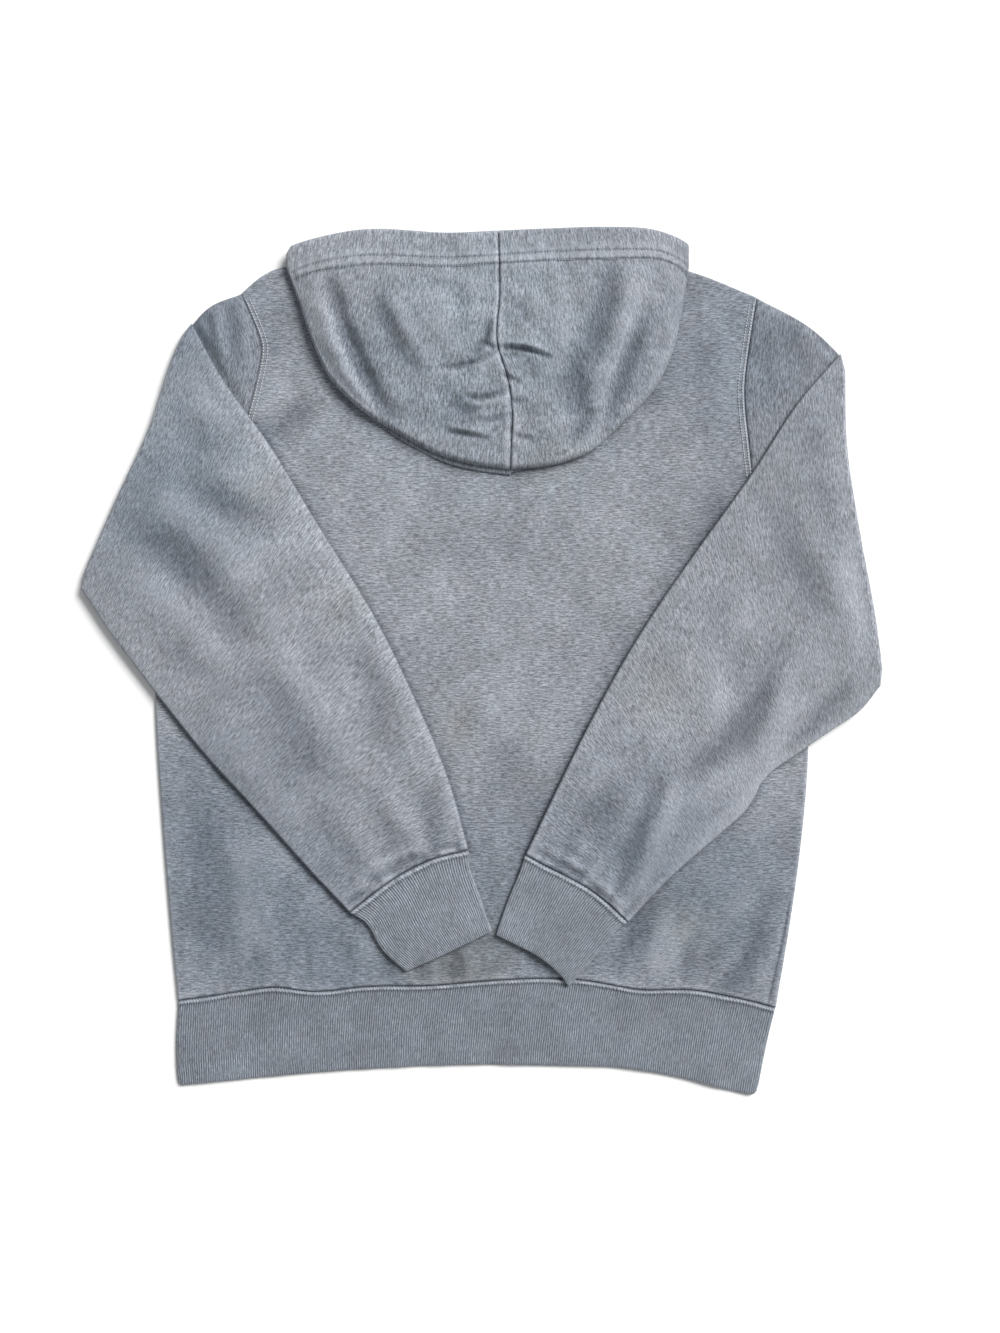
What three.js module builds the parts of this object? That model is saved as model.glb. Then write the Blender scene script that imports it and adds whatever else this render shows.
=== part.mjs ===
import * as THREE from 'three';

// A pullover hoodie in brushed fleece, lying face down and flat: the back is up, the hood lies on the
// back and both sleeves are folded in over it. +Z is up, +Y points from the hem to the neck, and +X is
// on the right as seen from above. All sizes are in millimetres.

// Driving dimensions.
const CLOTH = 2;
const SEAM_GAP = 0.3;
const LAYER_GAP = 0.8;
const FLAT_TUBE = 2 * CLOTH + SEAM_GAP;
const MID_TUBE = FLAT_TUBE / 2;
const FOLD_AXIS = FLAT_TUBE + LAYER_GAP / 2;
const SECOND_LAYER = FLAT_TUBE + LAYER_GAP;
const EDGE_INSET = 2.5;
const EDGE_DROP = 0.6;
const RIB_PITCH = 1.95;
const RIB_DEPTH = 0.6;
const CENTRE_X = 0.57;
const CENTRE_Y = 0.98;

const HOOD_UNDER_THICK = 3.3;
const HOOD_HEM_DEPTH = 26;
const HOOD_HEM_RISE = 0.8;
const HOOD_CROWN = 7.5;
const HOOD_LIP = 2.1;

const BODY_LOFT = 3;
const SLEEVE_LOFT = 5;
const CUFF_LOFT = 1.5;
const FOLD_FADE = 45;

// Lengths that turn a distance on the cloth into a share of its piece: the body's width and height,
// the way from an armhole to the sleeve's fold, a cuff and the hem band.
const PANEL_SPAN = 500;
const CAP_SPAN = 80;
const CUFF_LONG = 65;
const BAND_LONG = 72;

const table = (columns, rows) => {
  const names = columns.split(' ');
  return rows.map((row) => Object.fromEntries(names.map((name, i) => [name, row[i]])));
};

// Body outline: the side seams from the hem up to the underarm, then the armholes from the shoulder
// down to the underarm, the shoulders, and the two necklines.
const SIDE_LEFT = table('x y', [
  [-260.8, -290.9], [-266.4, -234], [-272.8, -156.5], [-279.7, -53], [-283.2, 65.1],
]);
const SIDE_RIGHT = table('x y', [
  [254.7, -297], [266.8, -225.4], [276.3, -156.5], [282.3, -87.5], [284.9, 44.4],
]);
const ARMHOLE_LEFT = table('x y', [
  [-206.4, 319.4], [-190, 278.9], [-189.2, 264], [-199.5, 218.5], [-222, 150], [-283.2, 65.1],
]);
const ARMHOLE_RIGHT = table('x y', [
  [238.3, 315.9], [230, 262.5], [227.5, 235], [230.1, 200.5], [240, 140], [284.9, 44.4],
]);
const SHOULDER_LEFT = table('x y', [[-206.4, 319.4], [-172.8, 340.1], [-90.9, 354]]);
const SHOULDER_RIGHT = table('x y', [[107.3, 354], [180.6, 338.3], [238.3, 315.9]]);
const BACK_NECK = table('x y', [[-90.9, 354], [-45, 343], [8.2, 339], [62, 343], [107.3, 354]]);
const FRONT_NECK = table('x y', [[-90.9, 354], [-66, 302], [8.2, 272], [82, 302], [107.3, 354]]);
const HEM_SEAM = table('x y', [
  [-260.8, -290.9], [-212.5, -284], [-178, -279.5], [-143.5, -283.2], [-97, -278.9], [-40, -277.8],
  [22.8, -272.8], [80, -272.4], [138.4, -281.4], [184, -281.9], [230.6, -290.9], [254.7, -297],
]);

// Hem band: its side edges from the seam down, and its lower edge from left to right.
const BAND_LEFT = table('x y', [[-260.8, -290.9], [-262.8, -328.9], [-261.5, -364.5]]);
const BAND_RIGHT = table('x y', [[254.7, -297], [247, -328.9], [238.3, -373.2]]);
const BAND_END = table('x y', [
  [-261.5, -364.5], [-190.1, -357.3], [-121.1, -351.3], [-17.7, -346.3], [60, -347], [120.2, -348.9],
  [170, -356.8], [205, -366], [238.3, -373.2],
]);

// Sleeves as they lie: the fold from the shoulder side down, then both long edges of the folded part
// from the fold to the cuff seam, and the cuff seam from the upper edge to the lower one.
const FOLD_LEFT = table('x y', [
  [-248.5, 292.5], [-263.5, 257.4], [-281.2, 203], [-312, 136], [-343.6, 63.5],
]);
const UPPER_LEFT = table('x y', [
  [-222, 245.2], [-180.6, 186.6], [-139.2, 118.5], [-90.1, 38.4], [-48.7, -47], [-27.2, -100.4],
  [-10.3, -159.9],
]);
const LOWER_LEFT = table('x y', [
  [-317.6, 24.6], [-282.3, -22], [-238.3, -77.1], [-189.2, -130.6], [-143.5, -181.5], [-112.9, -213.9],
]);
const CUFF_SEAM_LEFT = table('x y', [
  [-10.3, -159.9], [-47, -170.3], [-77.1, -186.6], [-112.9, -213.9],
]);
const FOLD_RIGHT = table('x y', [
  [309.8, 266.5], [311.5, 188], [321.5, 119.4], [336, 40], [343.8, -20],
]);
const UPPER_RIGHT = table('x y', [
  [272.8, 223.7], [234, 164.2], [181.5, 90.9], [148.7, 43.5], [118.5, -5.6], [83.2, -72],
  [38.4, -164.5],
]);
const LOWER_RIGHT = table('x y', [
  [327.1, -40.5], [305.6, -54.7], [259, -90.9], [234.9, -121.1], [196.1, -160.8], [156.5, -195.2],
  [127.1, -222.5],
]);
const CUFF_SEAM_RIGHT = table('x y', [
  [38.4, -164.5], [60.8, -176.3], [87.5, -190], [108, -205], [127.1, -222.5],
]);

// Cuffs: both side edges from the seam to the end, and the end from the upper edge to the lower one.
const CUFF_LEFT_UPPER = table('x y', [[-10.3, -159.9], [-8.2, -178], [1.3, -204.5], [10, -230]]);
const CUFF_LEFT_LOWER = table('x y', [
  [-112.9, -213.9], [-97.8, -224.1], [-84.9, -246.5], [-64.2, -265.1],
]);
const CUFF_LEFT_END = table('x y', [[10, -230], [-27.6, -248.2], [-64.2, -265.1]]);
const CUFF_RIGHT_UPPER = table('x y', [[38.4, -164.5], [32.3, -182.1], [24.2, -201.3], [13.2, -233.2]]);
const CUFF_RIGHT_LOWER = table('x y', [[127.1, -222.5], [116.5, -229.6], [99, -252], [76.1, -278]]);
const CUFF_RIGHT_END = table('x y', [[13.2, -233.2], [48.7, -251.3], [67, -266], [76.1, -278]]);

// Hood: each half has its mouth from the outer corner to the centre seam, and its folded outline from
// the same corner round to the foot of the seam.
const MOUTH_LEFT = table('x y', [
  [-167, 352.5], [-161.6, 359.5], [-121.1, 370.2], [-90.1, 373.4], [-29.7, 370.2], [15.4, 372],
]);
const MOUTH_RIGHT = table('x y', [
  [179, 351], [177.8, 361], [148.7, 372.8], [108.2, 375.2], [62.5, 374], [15.4, 372],
]);
const OUTLINE_LEFT = table('x y', [
  [-167.6, 342], [-156.5, 311.3], [-143.8, 274.5], [-129.3, 244.7], [-103, 218.2], [-71.1, 197.6],
  [-38, 180.3], [-8.2, 171.3], [25.5, 166.6],
]);
const OUTLINE_RIGHT = table('x y', [
  [179.3, 341], [176.3, 321.3], [165.8, 270.2], [148.7, 234.9], [118.5, 203], [91.8, 180.5],
  [58, 169.6], [25.5, 166.6],
]);
const HOOD_SEAM = table('x y', [
  [15.4, 372], [16.4, 315.9], [14.2, 275.4], [23.4, 243.9], [27.2, 216.2], [26.4, 190], [25.5, 166.6],
]);

// Folds: each runs through three points, with the half-width of its trough and its depth, which is
// negative for a trough and positive for a ridge.
const BODY_FOLDS = table('x1 y1 x2 y2 x3 y3 wide deep', [
  [248, -204, 230.6, -250.4, 212, -280, 11, -2.2],
  [262, -206, 246, -254, 230, -286, 10, 1.2],
  [142.7, -225, 138, -245, 135.8, -266, 10, -1.5],
  [179.7, -240, 177, -262, 175.4, -282, 10, -1.3],
  [-247, -118, -235.8, -192.7, -229, -250, 20, -1.8],
  [-192, 188, -166.8, 207.3, -148, 226, 14, -1.6],
]);
const SLEEVE_FOLDS = table('x1 y1 x2 y2 x3 y3 wide deep', [
  [318, -19, 290.9, -45.3, 262, -73, 9, -3],
  [261.6, 22, 236.6, -35.8, 224, -98, 13, -2.6],
  [192.7, -30, 171.1, -77.1, 150, -112, 13, -2.2],
  [156.5, -100, 134, -150, 113, -206, 11, -2.8],
  [-296, 116, -243, 74, -203, 14, 20, -2],
  [-252, 160, -222, 137.5, -180, 122, 18, -1.8],
]);
const HOOD_FOLDS = table('x1 y1 x2 y2 x3 y3 wide deep', [
  [-120, 344, -98, 268, -66, 200, 11, -4.4],
  [-86, 322, -72.8, 283.2, -48, 248, 13, -2.6],
  [-34, 258, -8, 252, 20, 268, 10, -3.2],
  [14, 272, 46.1, 266.8, 66, 260, 10, -3.2],
  [-36, 197, -14.2, 195.2, 10, 189, 10, -2.2],
  [113, 350, 92, 264, 78, 188, 13, -4],
  [144, 316, 126.3, 262, 100, 192, 12, -2.8],
]);

const clamp01 = (value) => Math.min(Math.max(value, 0), 1);
const smooth = (value) => clamp01(value) ** 2 * (3 - 2 * clamp01(value));
const mix = (a, b, k) => ({ x: a.x + (b.x - a.x) * k, y: a.y + (b.y - a.y) * k });
const steps = (count) => Array.from({ length: count + 1 }, (_, i) => i / count);
const distance = (a, b) => Math.hypot(a.x - b.x, a.y - b.y);

// A smooth curve through a table's rows: cubic pieces whose slope at each row is that of the chord
// between its neighbours. The parameter runs from 0 to 1 by chord length.
function curveThrough(rows) {
  const knots = [0];
  for (let i = 1; i < rows.length; i += 1) knots.push(knots[i - 1] + distance(rows[i], rows[i - 1]));
  const slopes = rows.map((row, i) => {
    const before = Math.max(i - 1, 0);
    const after = Math.min(i + 1, rows.length - 1);
    const run = knots[after] - knots[before];
    return { x: (rows[after].x - rows[before].x) / run, y: (rows[after].y - rows[before].y) / run };
  });
  return (t) => {
    const along = clamp01(t) * knots.at(-1);
    let i = 0;
    while (i < rows.length - 2 && along > knots[i + 1]) i += 1;
    const run = knots[i + 1] - knots[i];
    const k = (along - knots[i]) / run;
    const cubic = (key) => (1 + 2 * k) * (1 - k) ** 2 * rows[i][key]
      + k * (1 - k) ** 2 * run * slopes[i][key]
      + k * k * (3 - 2 * k) * rows[i + 1][key]
      - k * k * (1 - k) * run * slopes[i + 1][key];
    return { x: cubic('x'), y: cubic('y') };
  };
}

// The same curve drawn with straight lines between the given knots, so that two pieces sewn along it
// keep an even gap.
function drawnStraight(curve, knots) {
  const points = knots.map(curve);
  return (t) => {
    let i = 0;
    while (i < knots.length - 2 && t > knots[i + 1]) i += 1;
    return mix(points[i], points[i + 1], (t - knots[i]) / (knots[i + 1] - knots[i]));
  };
}

// A surface patch between four edges: straight lines run from the start edge's side to the far one,
// and the bend of the bottom and top edges fades out with the given power.
function patch(left, right, bottom, top, power = 1) {
  const chord = (u, v) => mix(left(v), right(v), u);
  return (u, v) => {
    const base = chord(u, v);
    const low = bottom(u);
    const lowChord = chord(u, 0);
    const high = top(u);
    const highChord = chord(u, 1);
    const lowPart = (1 - v) ** power;
    const highPart = v ** power;
    return {
      x: base.x + (low.x - lowChord.x) * lowPart + (high.x - highChord.x) * highPart,
      y: base.y + (low.y - lowChord.y) * lowPart + (high.y - highChord.y) * highPart,
    };
  };
}

// Height of a table of folds at a point: each adds its depth times a bell across its width, and fades
// out to nothing at both ends.
const FOLD_CHORDS = 6;
function foldHeight(folds, x, y) {
  let height = 0;
  for (const fold of folds) {
    const bend = {
      x: 2 * fold.x2 - (fold.x1 + fold.x3) / 2,
      y: 2 * fold.y2 - (fold.y1 + fold.y3) / 2,
    };
    const arc = (t) => ({
      x: (1 - t) ** 2 * fold.x1 + 2 * t * (1 - t) * bend.x + t * t * fold.x3,
      y: (1 - t) ** 2 * fold.y1 + 2 * t * (1 - t) * bend.y + t * t * fold.y3,
    });
    let nearest = Infinity;
    let where = 0;
    for (let i = 0; i < FOLD_CHORDS; i += 1) {
      const a = arc(i / FOLD_CHORDS);
      const b = arc((i + 1) / FOLD_CHORDS);
      const run = distance(a, b);
      const k = clamp01(((x - a.x) * (b.x - a.x) + (y - a.y) * (b.y - a.y)) / (run * run));
      const away = distance(mix(a, b, k), { x, y });
      if (away < nearest) {
        nearest = away;
        where = (i + k) / FOLD_CHORDS;
      }
    }
    height += fold.deep * Math.sin(Math.PI * where) ** 0.6 * Math.exp(-((nearest / fold.wide) ** 2));
  }
  return height;
}

// Loft of the back over the front: a low flat dome that ends at the seams, with the body's folds. The
// dome follows the shoulders, which fall away outward from the neck.
const DOME_HALF_X = 262;
const DOME_HALF_Y = 318;
const DOME_MID_Y = 30;
const DOME_POWER = 6;
const NECK_HALF = 95;
const SHOULDER_SLOPE = 0.3;
function bodyRise(x, y) {
  const lowered = y > DOME_MID_Y ? SHOULDER_SLOPE * Math.max(0, Math.abs(x) - NECK_HALF) : 0;
  const domeX = 1 - Math.abs(x / DOME_HALF_X) ** DOME_POWER;
  const domeY = 1 - Math.abs((y + lowered - DOME_MID_Y) / DOME_HALF_Y) ** DOME_POWER;
  const dome = clamp01(domeX) * clamp01(domeY);
  return Math.max(0, BODY_LOFT * dome + foldHeight(BODY_FOLDS, x, y) * smooth(dome * 3));
}

// Builds one closed mesh from triangles, with its faces outward.
function solid(name, points, faces, colour) {
  let volume = 0;
  for (const [a, b, c] of faces) {
    const [p, q, r] = [points[a], points[b], points[c]];
    volume += p[0] * (q[1] * r[2] - q[2] * r[1]) - p[1] * (q[0] * r[2] - q[2] * r[0])
      + p[2] * (q[0] * r[1] - q[1] * r[0]);
  }
  const outward = volume > 0 ? faces : faces.map(([a, b, c]) => [a, c, b]);
  const geometry = new THREE.BufferGeometry();
  const centred = points.flatMap(([x, y, z]) => [x - CENTRE_X, y - CENTRE_Y, z]);
  geometry.setAttribute('position', new THREE.Float32BufferAttribute(centred, 3));
  geometry.setIndex(outward.flat());
  geometry.computeVertexNormals();
  const material = new THREE.MeshStandardMaterial({ color: colour, roughness: 0.95, metalness: 0 });
  const mesh = new THREE.Mesh(geometry, material);
  mesh.name = name;
  return mesh;
}

// Wall between two grids of points of the same size. A wrapped wall closes on itself across its rows,
// and an open one gets a strip along both sides too.
function wall(name, outer, inner, wrapped, colour) {
  const rows = outer.length;
  const count = outer[0].length;
  const points = [...outer.flat(), ...inner.flat()];
  const faces = [];
  const quad = (a, b, c, d) => faces.push([a, b, c], [a, c, d]);
  const out = (i, j) => i * count + (j % count);
  const into = (i, j) => rows * count + i * count + (j % count);
  const across = wrapped ? count : count - 1;
  for (let i = 0; i < rows - 1; i += 1) {
    for (let j = 0; j < across; j += 1) {
      quad(out(i, j), out(i + 1, j), out(i + 1, j + 1), out(i, j + 1));
      quad(into(i, j), into(i, j + 1), into(i + 1, j + 1), into(i + 1, j));
    }
  }
  for (let j = 0; j < across; j += 1) {
    quad(out(0, j), out(0, j + 1), into(0, j + 1), into(0, j));
    quad(out(rows - 1, j), into(rows - 1, j), into(rows - 1, j + 1), out(rows - 1, j + 1));
  }
  if (!wrapped) {
    for (let i = 0; i < rows - 1; i += 1) {
      quad(out(i, 0), into(i, 0), into(i + 1, 0), out(i + 1, 0));
      quad(out(i, count - 1), out(i + 1, count - 1), into(i + 1, count - 1), into(i, count - 1));
    }
  }
  return solid(name, points, faces, colour);
}

const FLEECE = 0x9095a0;
const RIB = 0x858b97;

// Front and back: both panels share the side seams, armholes, shoulders and hem seam, and differ in
// the neckline. The rows of the grid meet the underarms, and its columns the two ends of the neck.
const UNDERARM_ROW = 0.5;
const NECK_START = 0.25;
const NECK_STOP = 0.6875;
const ACROSS = steps(16);
const SLEEVE_ACROSS = steps(10);
const BELOW_UNDERARM = steps(11).map((k) => k * UNDERARM_ROW);
const ABOVE_UNDERARM = SLEEVE_ACROSS.map((k) => 1 - (1 - UNDERARM_ROW) * k).reverse().slice(1);

const armholeLeft = drawnStraight(curveThrough(ARMHOLE_LEFT), SLEEVE_ACROSS);
const armholeRight = drawnStraight(curveThrough(ARMHOLE_RIGHT), SLEEVE_ACROSS);
const hemSeam = drawnStraight(curveThrough(HEM_SEAM), ACROSS);

function bodySide(side, armhole) {
  return (v) => (v <= UNDERARM_ROW ? side(v / UNDERARM_ROW) : armhole((1 - v) / (1 - UNDERARM_ROW)));
}

function bodyTop(neck) {
  const shoulderLeft = curveThrough(SHOULDER_LEFT);
  const shoulderRight = curveThrough(SHOULDER_RIGHT);
  const neckCurve = curveThrough(neck);
  return (u) => {
    if (u < NECK_START) return shoulderLeft(u / NECK_START);
    if (u > NECK_STOP) return shoulderRight((u - NECK_STOP) / (1 - NECK_STOP));
    return neckCurve((u - NECK_START) / (NECK_STOP - NECK_START));
  };
}

function bodyPanel(name, neck, low, rise) {
  const place = patch(
    bodySide(curveThrough(SIDE_LEFT), armholeLeft),
    bodySide(curveThrough(SIDE_RIGHT), armholeRight),
    hemSeam,
    drawnStraight(bodyTop(neck), ACROSS),
  );
  const inset = EDGE_INSET / PANEL_SPAN;
  const columns = [0, inset, ...ACROSS.slice(1, -1), 1 - inset, 1];
  const heights = [...BELOW_UNDERARM, ...ABOVE_UNDERARM];
  const rows = [0, inset, ...heights.slice(1, -1), 1 - inset, 1];
  const edge = (list, i) => i === 0 || i === list.length - 1;
  const grid = (z, lowered) => rows.map((v, i) => columns.map((u, j) => {
    const at = place(u, v);
    const drop = edge(rows, i) || edge(columns, j) ? lowered : 0;
    return [at.x, at.y, z + drop + rise(at.x, at.y)];
  }));
  const isBack = low > 0;
  const top = grid(low + CLOTH, isBack ? -EDGE_DROP : 0);
  return wall(name, top, grid(low, isBack ? 0 : EDGE_DROP), false, FLEECE);
}

// Sleeve: a flattened tube from the armhole out to the fold, round the fold, and back over the body to
// the cuff seam. A ring's points are given by how far across they lie and by their direction from the
// middle of the tube's wall, which is straight up or down but for the rounded edges.
const EDGE_TURN = 2;
function ringPoints(across) {
  const list = [];
  const inner = across.slice(1, -1);
  list.push({ at: 0, turn: 0, up: 1 });
  inner.forEach((k) => list.push({ at: k, turn: 0, up: 1, fixed: true }));
  list.push({ at: 1, turn: 0, up: 1 });
  for (let i = 1; i <= EDGE_TURN; i += 1) {
    const angle = (Math.PI * i) / (EDGE_TURN + 1);
    list.push({ at: 1, turn: Math.sin(angle), up: Math.cos(angle) });
  }
  list.push({ at: 1, turn: 0, up: -1 });
  [...inner].reverse().forEach((k) => list.push({ at: k, turn: 0, up: -1, fixed: true }));
  list.push({ at: 0, turn: 0, up: -1 });
  for (let i = 1; i <= EDGE_TURN; i += 1) {
    const angle = Math.PI + (Math.PI * i) / (EDGE_TURN + 1);
    list.push({ at: 0, turn: Math.sin(angle), up: Math.cos(angle) });
  }
  return list;
}

function ringPlace(point, radius, width) {
  if (point.fixed) return point.at;
  const middle = point.at === 0 ? MID_TUBE : width - MID_TUBE;
  return (middle + radius * point.turn) / width;
}

// Rows of a sleeve's grid: shares of the way from the armhole to the fold, of the half turn round the
// fold, and of the way from the fold to the cuff seam.
const UNDER_ROWS = [0.5, 0.85];
const TURN_ROWS = steps(4);
const OVER_ROWS = [0.02, 0.05, 0.1, 0.16, 0.24, 0.33, 0.42, 0.52, 0.62, 0.72, 0.82, 0.91];
const NORMAL_STEP = 0.01;
const LOFT_FALL = 0.25;
const LOFT_POWER = 0.7;
const OVER_POWER = 3;

function sleeve(name, armhole, fold, upper, lower, seam, side) {
  const foldCurve = curveThrough(fold);
  const upperCurve = curveThrough([fold[0], ...upper]);
  const lowerCurve = curveThrough([fold.at(-1), ...lower]);
  const seamCurve = drawnStraight(curveThrough(seam), SLEEVE_ACROSS);
  const underPart = (u, v) => mix(armhole(u), foldCurve(u), v);
  const overPart = patch(upperCurve, lowerCurve, foldCurve, seamCurve, OVER_POWER);
  const middleAt = (s) => mix(upperCurve(s), lowerCurve(s), 0.5);
  const sleeveLength = distance(middleAt(0), middleAt(1));
  const ring = ringPoints(SLEEVE_ACROSS);

  const outwardNormal = (u) => {
    const a = foldCurve(u - NORMAL_STEP);
    const b = foldCurve(u + NORMAL_STEP);
    const run = distance(a, b);
    return { x: (-side * (b.y - a.y)) / run, y: (side * (b.x - a.x)) / run };
  };

  const station = (kind, s, radius) => ring.map((point) => {
    const height = MID_TUBE + radius * point.up;
    if (kind === 'under') {
      const width = distance(underPart(0, s), underPart(1, s));
      const at = underPart(ringPlace(point, radius, width), s);
      const capFade = smooth(((1 - s) * CAP_SPAN) / FOLD_FADE);
      const upperShare = (1 + point.up) / 2;
      return [at.x, at.y, height + upperShare * capFade * bodyRise(at.x, at.y)];
    }
    if (kind === 'turn') {
      const width = distance(foldCurve(0), foldCurve(1));
      const u = ringPlace(point, radius, width);
      const at = foldCurve(u);
      const normal = outwardNormal(u);
      const reach = (FOLD_AXIS - height) * Math.sin(s);
      const z = FOLD_AXIS - (FOLD_AXIS - height) * Math.cos(s);
      return [at.x + normal.x * reach, at.y + normal.y * reach, z];
    }
    const width = distance(upperCurve(s), lowerCurve(s));
    const u = ringPlace(point, radius, width);
    const at = overPart(u, s);
    const fade = smooth((s * sleeveLength) / FOLD_FADE);
    const loft = SLEEVE_LOFT - (SLEEVE_LOFT - CUFF_LOFT) * smooth((s - 1 + LOFT_FALL) / LOFT_FALL);
    const puff = loft * Math.sin(Math.PI * clamp01(u)) ** LOFT_POWER + foldHeight(SLEEVE_FOLDS, at.x, at.y);
    const topShare = (1 - point.up) / 2;
    const rise = fade * (bodyRise(at.x, at.y) + topShare * Math.max(0, puff));
    return [at.x, at.y, 2 * FOLD_AXIS - height + rise];
  });

  const stations = [
    ['under', SEAM_GAP / CAP_SPAN, true],
    ['under', EDGE_INSET / CAP_SPAN, false],
    ...UNDER_ROWS.map((s) => ['under', s, false]),
    ...TURN_ROWS.map((k) => ['turn', k * Math.PI, false]),
    ...OVER_ROWS.map((s) => ['over', s, false]),
    ['over', 1 - EDGE_INSET / sleeveLength, false],
    ['over', 1, true],
  ];
  const outer = stations.map(([kind, s, atSeam]) => station(kind, s, MID_TUBE - (atSeam ? EDGE_DROP : 0)));
  const inner = stations.map(([kind, s]) => station(kind, s, SEAM_GAP / 2));
  return wall(name, outer, inner, true, FLEECE);
}

// Ribbed band: a flattened tube whose ribs stand up in its outer points, over a plain inside. Each loop
// point carries how far round it lies, and the ends are closed by stepping along both loops at once.
function ribbedTube(name, place, rises, base, plainUnderside, seamKnots, levels) {
  const width = distance(place(0, 0.5), place(1, 0.5));
  const ribs = Math.round(width / RIB_PITCH);
  const roundedHeight = (q) => {
    const near = Math.min(q, width - q, MID_TUBE);
    return Math.sqrt(MID_TUBE ** 2 - (MID_TUBE - near) ** 2);
  };
  const ribbedSide = (sign) => Array.from({ length: 2 * ribs }, (_, j) => {
    const u = (j + 0.5) / (2 * ribs);
    const height = Math.max(roundedHeight(u * width) - (j % 2) * RIB_DEPTH, SEAM_GAP);
    return { u, height: sign * height };
  });
  const plainSide = (sign, radius) => seamKnots.slice(1, -1).map((u) => ({ u, height: sign * radius }));
  const loop = (top, bottom, edge) => [
    { u: edge, height: 0 },
    ...top,
    { u: 1 - edge, height: 0 },
    ...bottom.reverse(),
  ];
  const nearCorner = { u: EDGE_INSET / width, height: -MID_TUBE };
  const farCorner = { u: 1 - EDGE_INSET / width, height: -MID_TUBE };
  const flatUnder = [nearCorner, ...plainSide(-1, MID_TUBE), farCorner];
  const outerLoop = loop(ribbedSide(1), plainUnderside ? flatUnder : ribbedSide(-1), 0);
  const halfGap = SEAM_GAP / 2;
  const innerLoop = loop(plainSide(1, halfGap), plainSide(-1, halfGap), CLOTH / width);
  const round = (list) => {
    const farEdge = list.findIndex((point) => point.u > 0.5 && point.height === 0);
    return list.map((point, i) => (i <= farEdge ? point.u / 2 : 1 - point.u / 2));
  };
  const outerRound = round(outerLoop);
  const innerRound = round(innerLoop);
  const draw = (list) => levels.map((s) => list.map(({ u, height }) => {
    const at = place(u, s);
    const { lift, top } = rises(u, s, at);
    return [at.x, at.y, base + MID_TUBE + height + lift + (height > 0 ? top : 0)];
  }));
  const outer = draw(outerLoop);
  const inner = draw(innerLoop);
  const points = [...outer.flat(), ...inner.flat()];
  const faces = [];
  const offset = outer.length * outerLoop.length;
  const skin = (count, start, flip) => {
    for (let i = 0; i < levels.length - 1; i += 1) {
      for (let j = 0; j < count; j += 1) {
        const next = (j + 1) % count;
        const near = start + i * count;
        const far = near + count;
        const quad = [near + j, far + j, far + next, near + next];
        const [a, b, c, d] = flip ? quad.reverse() : quad;
        faces.push([a, b, c], [a, c, d]);
      }
    }
  };
  skin(outerLoop.length, 0, false);
  skin(innerLoop.length, offset, true);
  for (const level of [0, levels.length - 1]) {
    let i = 0;
    let j = 0;
    const outCount = outerLoop.length;
    const inCount = innerLoop.length;
    const outAt = (k) => level * outCount + (k % outCount);
    const inAt = (k) => offset + level * inCount + (k % inCount);
    const roundAt = (list, k) => (k < list.length ? list[k] : 1 + list[0]);
    while (i < outCount || j < inCount) {
      const outerFirst = i < outCount && roundAt(outerRound, i + 1) <= roundAt(innerRound, j + 1);
      const stepOut = j >= inCount || outerFirst;
      const face = stepOut ? [outAt(i), outAt(i + 1), inAt(j)] : [outAt(i), inAt(j + 1), inAt(j)];
      faces.push(level === 0 ? face : [face[0], face[2], face[1]]);
      if (stepOut) i += 1;
      else j += 1;
    }
  }
  return solid(name, points, faces, RIB);
}

function cuff(name, seam, upper, lower, end) {
  const seamCurve = drawnStraight(curveThrough(seam), SLEEVE_ACROSS);
  const place = patch(curveThrough(upper), curveThrough(lower), seamCurve, curveThrough(end));
  const rises = (u, s, at) => ({
    lift: bodyRise(at.x, at.y),
    top: CUFF_LOFT * Math.sin(Math.PI * u) ** LOFT_POWER,
  });
  return ribbedTube(name, place, rises, SECOND_LAYER, false, SLEEVE_ACROSS, [SEAM_GAP / CUFF_LONG, 0.5, 1]);
}

function hemBand(name) {
  const place = patch(curveThrough(BAND_LEFT), curveThrough(BAND_RIGHT), hemSeam, curveThrough(BAND_END));
  const rises = (u, s, at) => ({ lift: 0, top: bodyRise(at.x, at.y) });
  return ribbedTube(name, place, rises, 0, true, ACROSS, [SEAM_GAP / BAND_LONG, 1]);
}

// Hood: each half is a wall fanned between the mouth and the folded outline, with a turned hem at the
// mouth, a crown that stands up, and a lip that turns down at the outline. Both halves start at the
// centre seam, where along is 1.
const HOOD_ALONG = [0, 0.05, 0.14, 0.24, 0.34, 0.44, 0.54, 0.64, 0.74, 0.83, 0.92, 1];
const HEM_STEP = 1.5;
const HOOD_HEM_ROWS = [0, EDGE_INSET, HOOD_HEM_DEPTH - HEM_STEP, HOOD_HEM_DEPTH + HEM_STEP];
const HOOD_LOWER_ROWS = steps(9).slice(1);
const HOOD_LIP_ROOM = 5.5;
const SHORT_LINE = 60;
const HOOD_TOP = SECOND_LAYER + HOOD_UNDER_THICK + SEAM_GAP + CLOTH;
const SEAM_BEND_POWER = 6;
const SEAM_GAP_POWER = 12;
const CROWN_START = 0.3;
const CROWN_SPAN = 0.9;
const CROWN_SHIFT = 0.02;
const CROWN_POWER = 0.8;
const FOLD_STOP = 0.12;

function hoodPlace(mouth, outline, gap) {
  const mouthCurve = curveThrough(mouth);
  const outlineCurve = curveThrough(outline);
  const seamCurve = curveThrough(HOOD_SEAM);
  return (along, down) => {
    const from = mouthCurve(along);
    const to = outlineCurve(along);
    const at = mix(from, to, down);
    const seamStraight = mix(mouthCurve(1), outlineCurve(1), down);
    const bend = seamCurve(down).x - seamStraight.x;
    return { x: at.x + bend * along ** SEAM_BEND_POWER + gap * along ** SEAM_GAP_POWER, y: at.y };
  };
}

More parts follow.
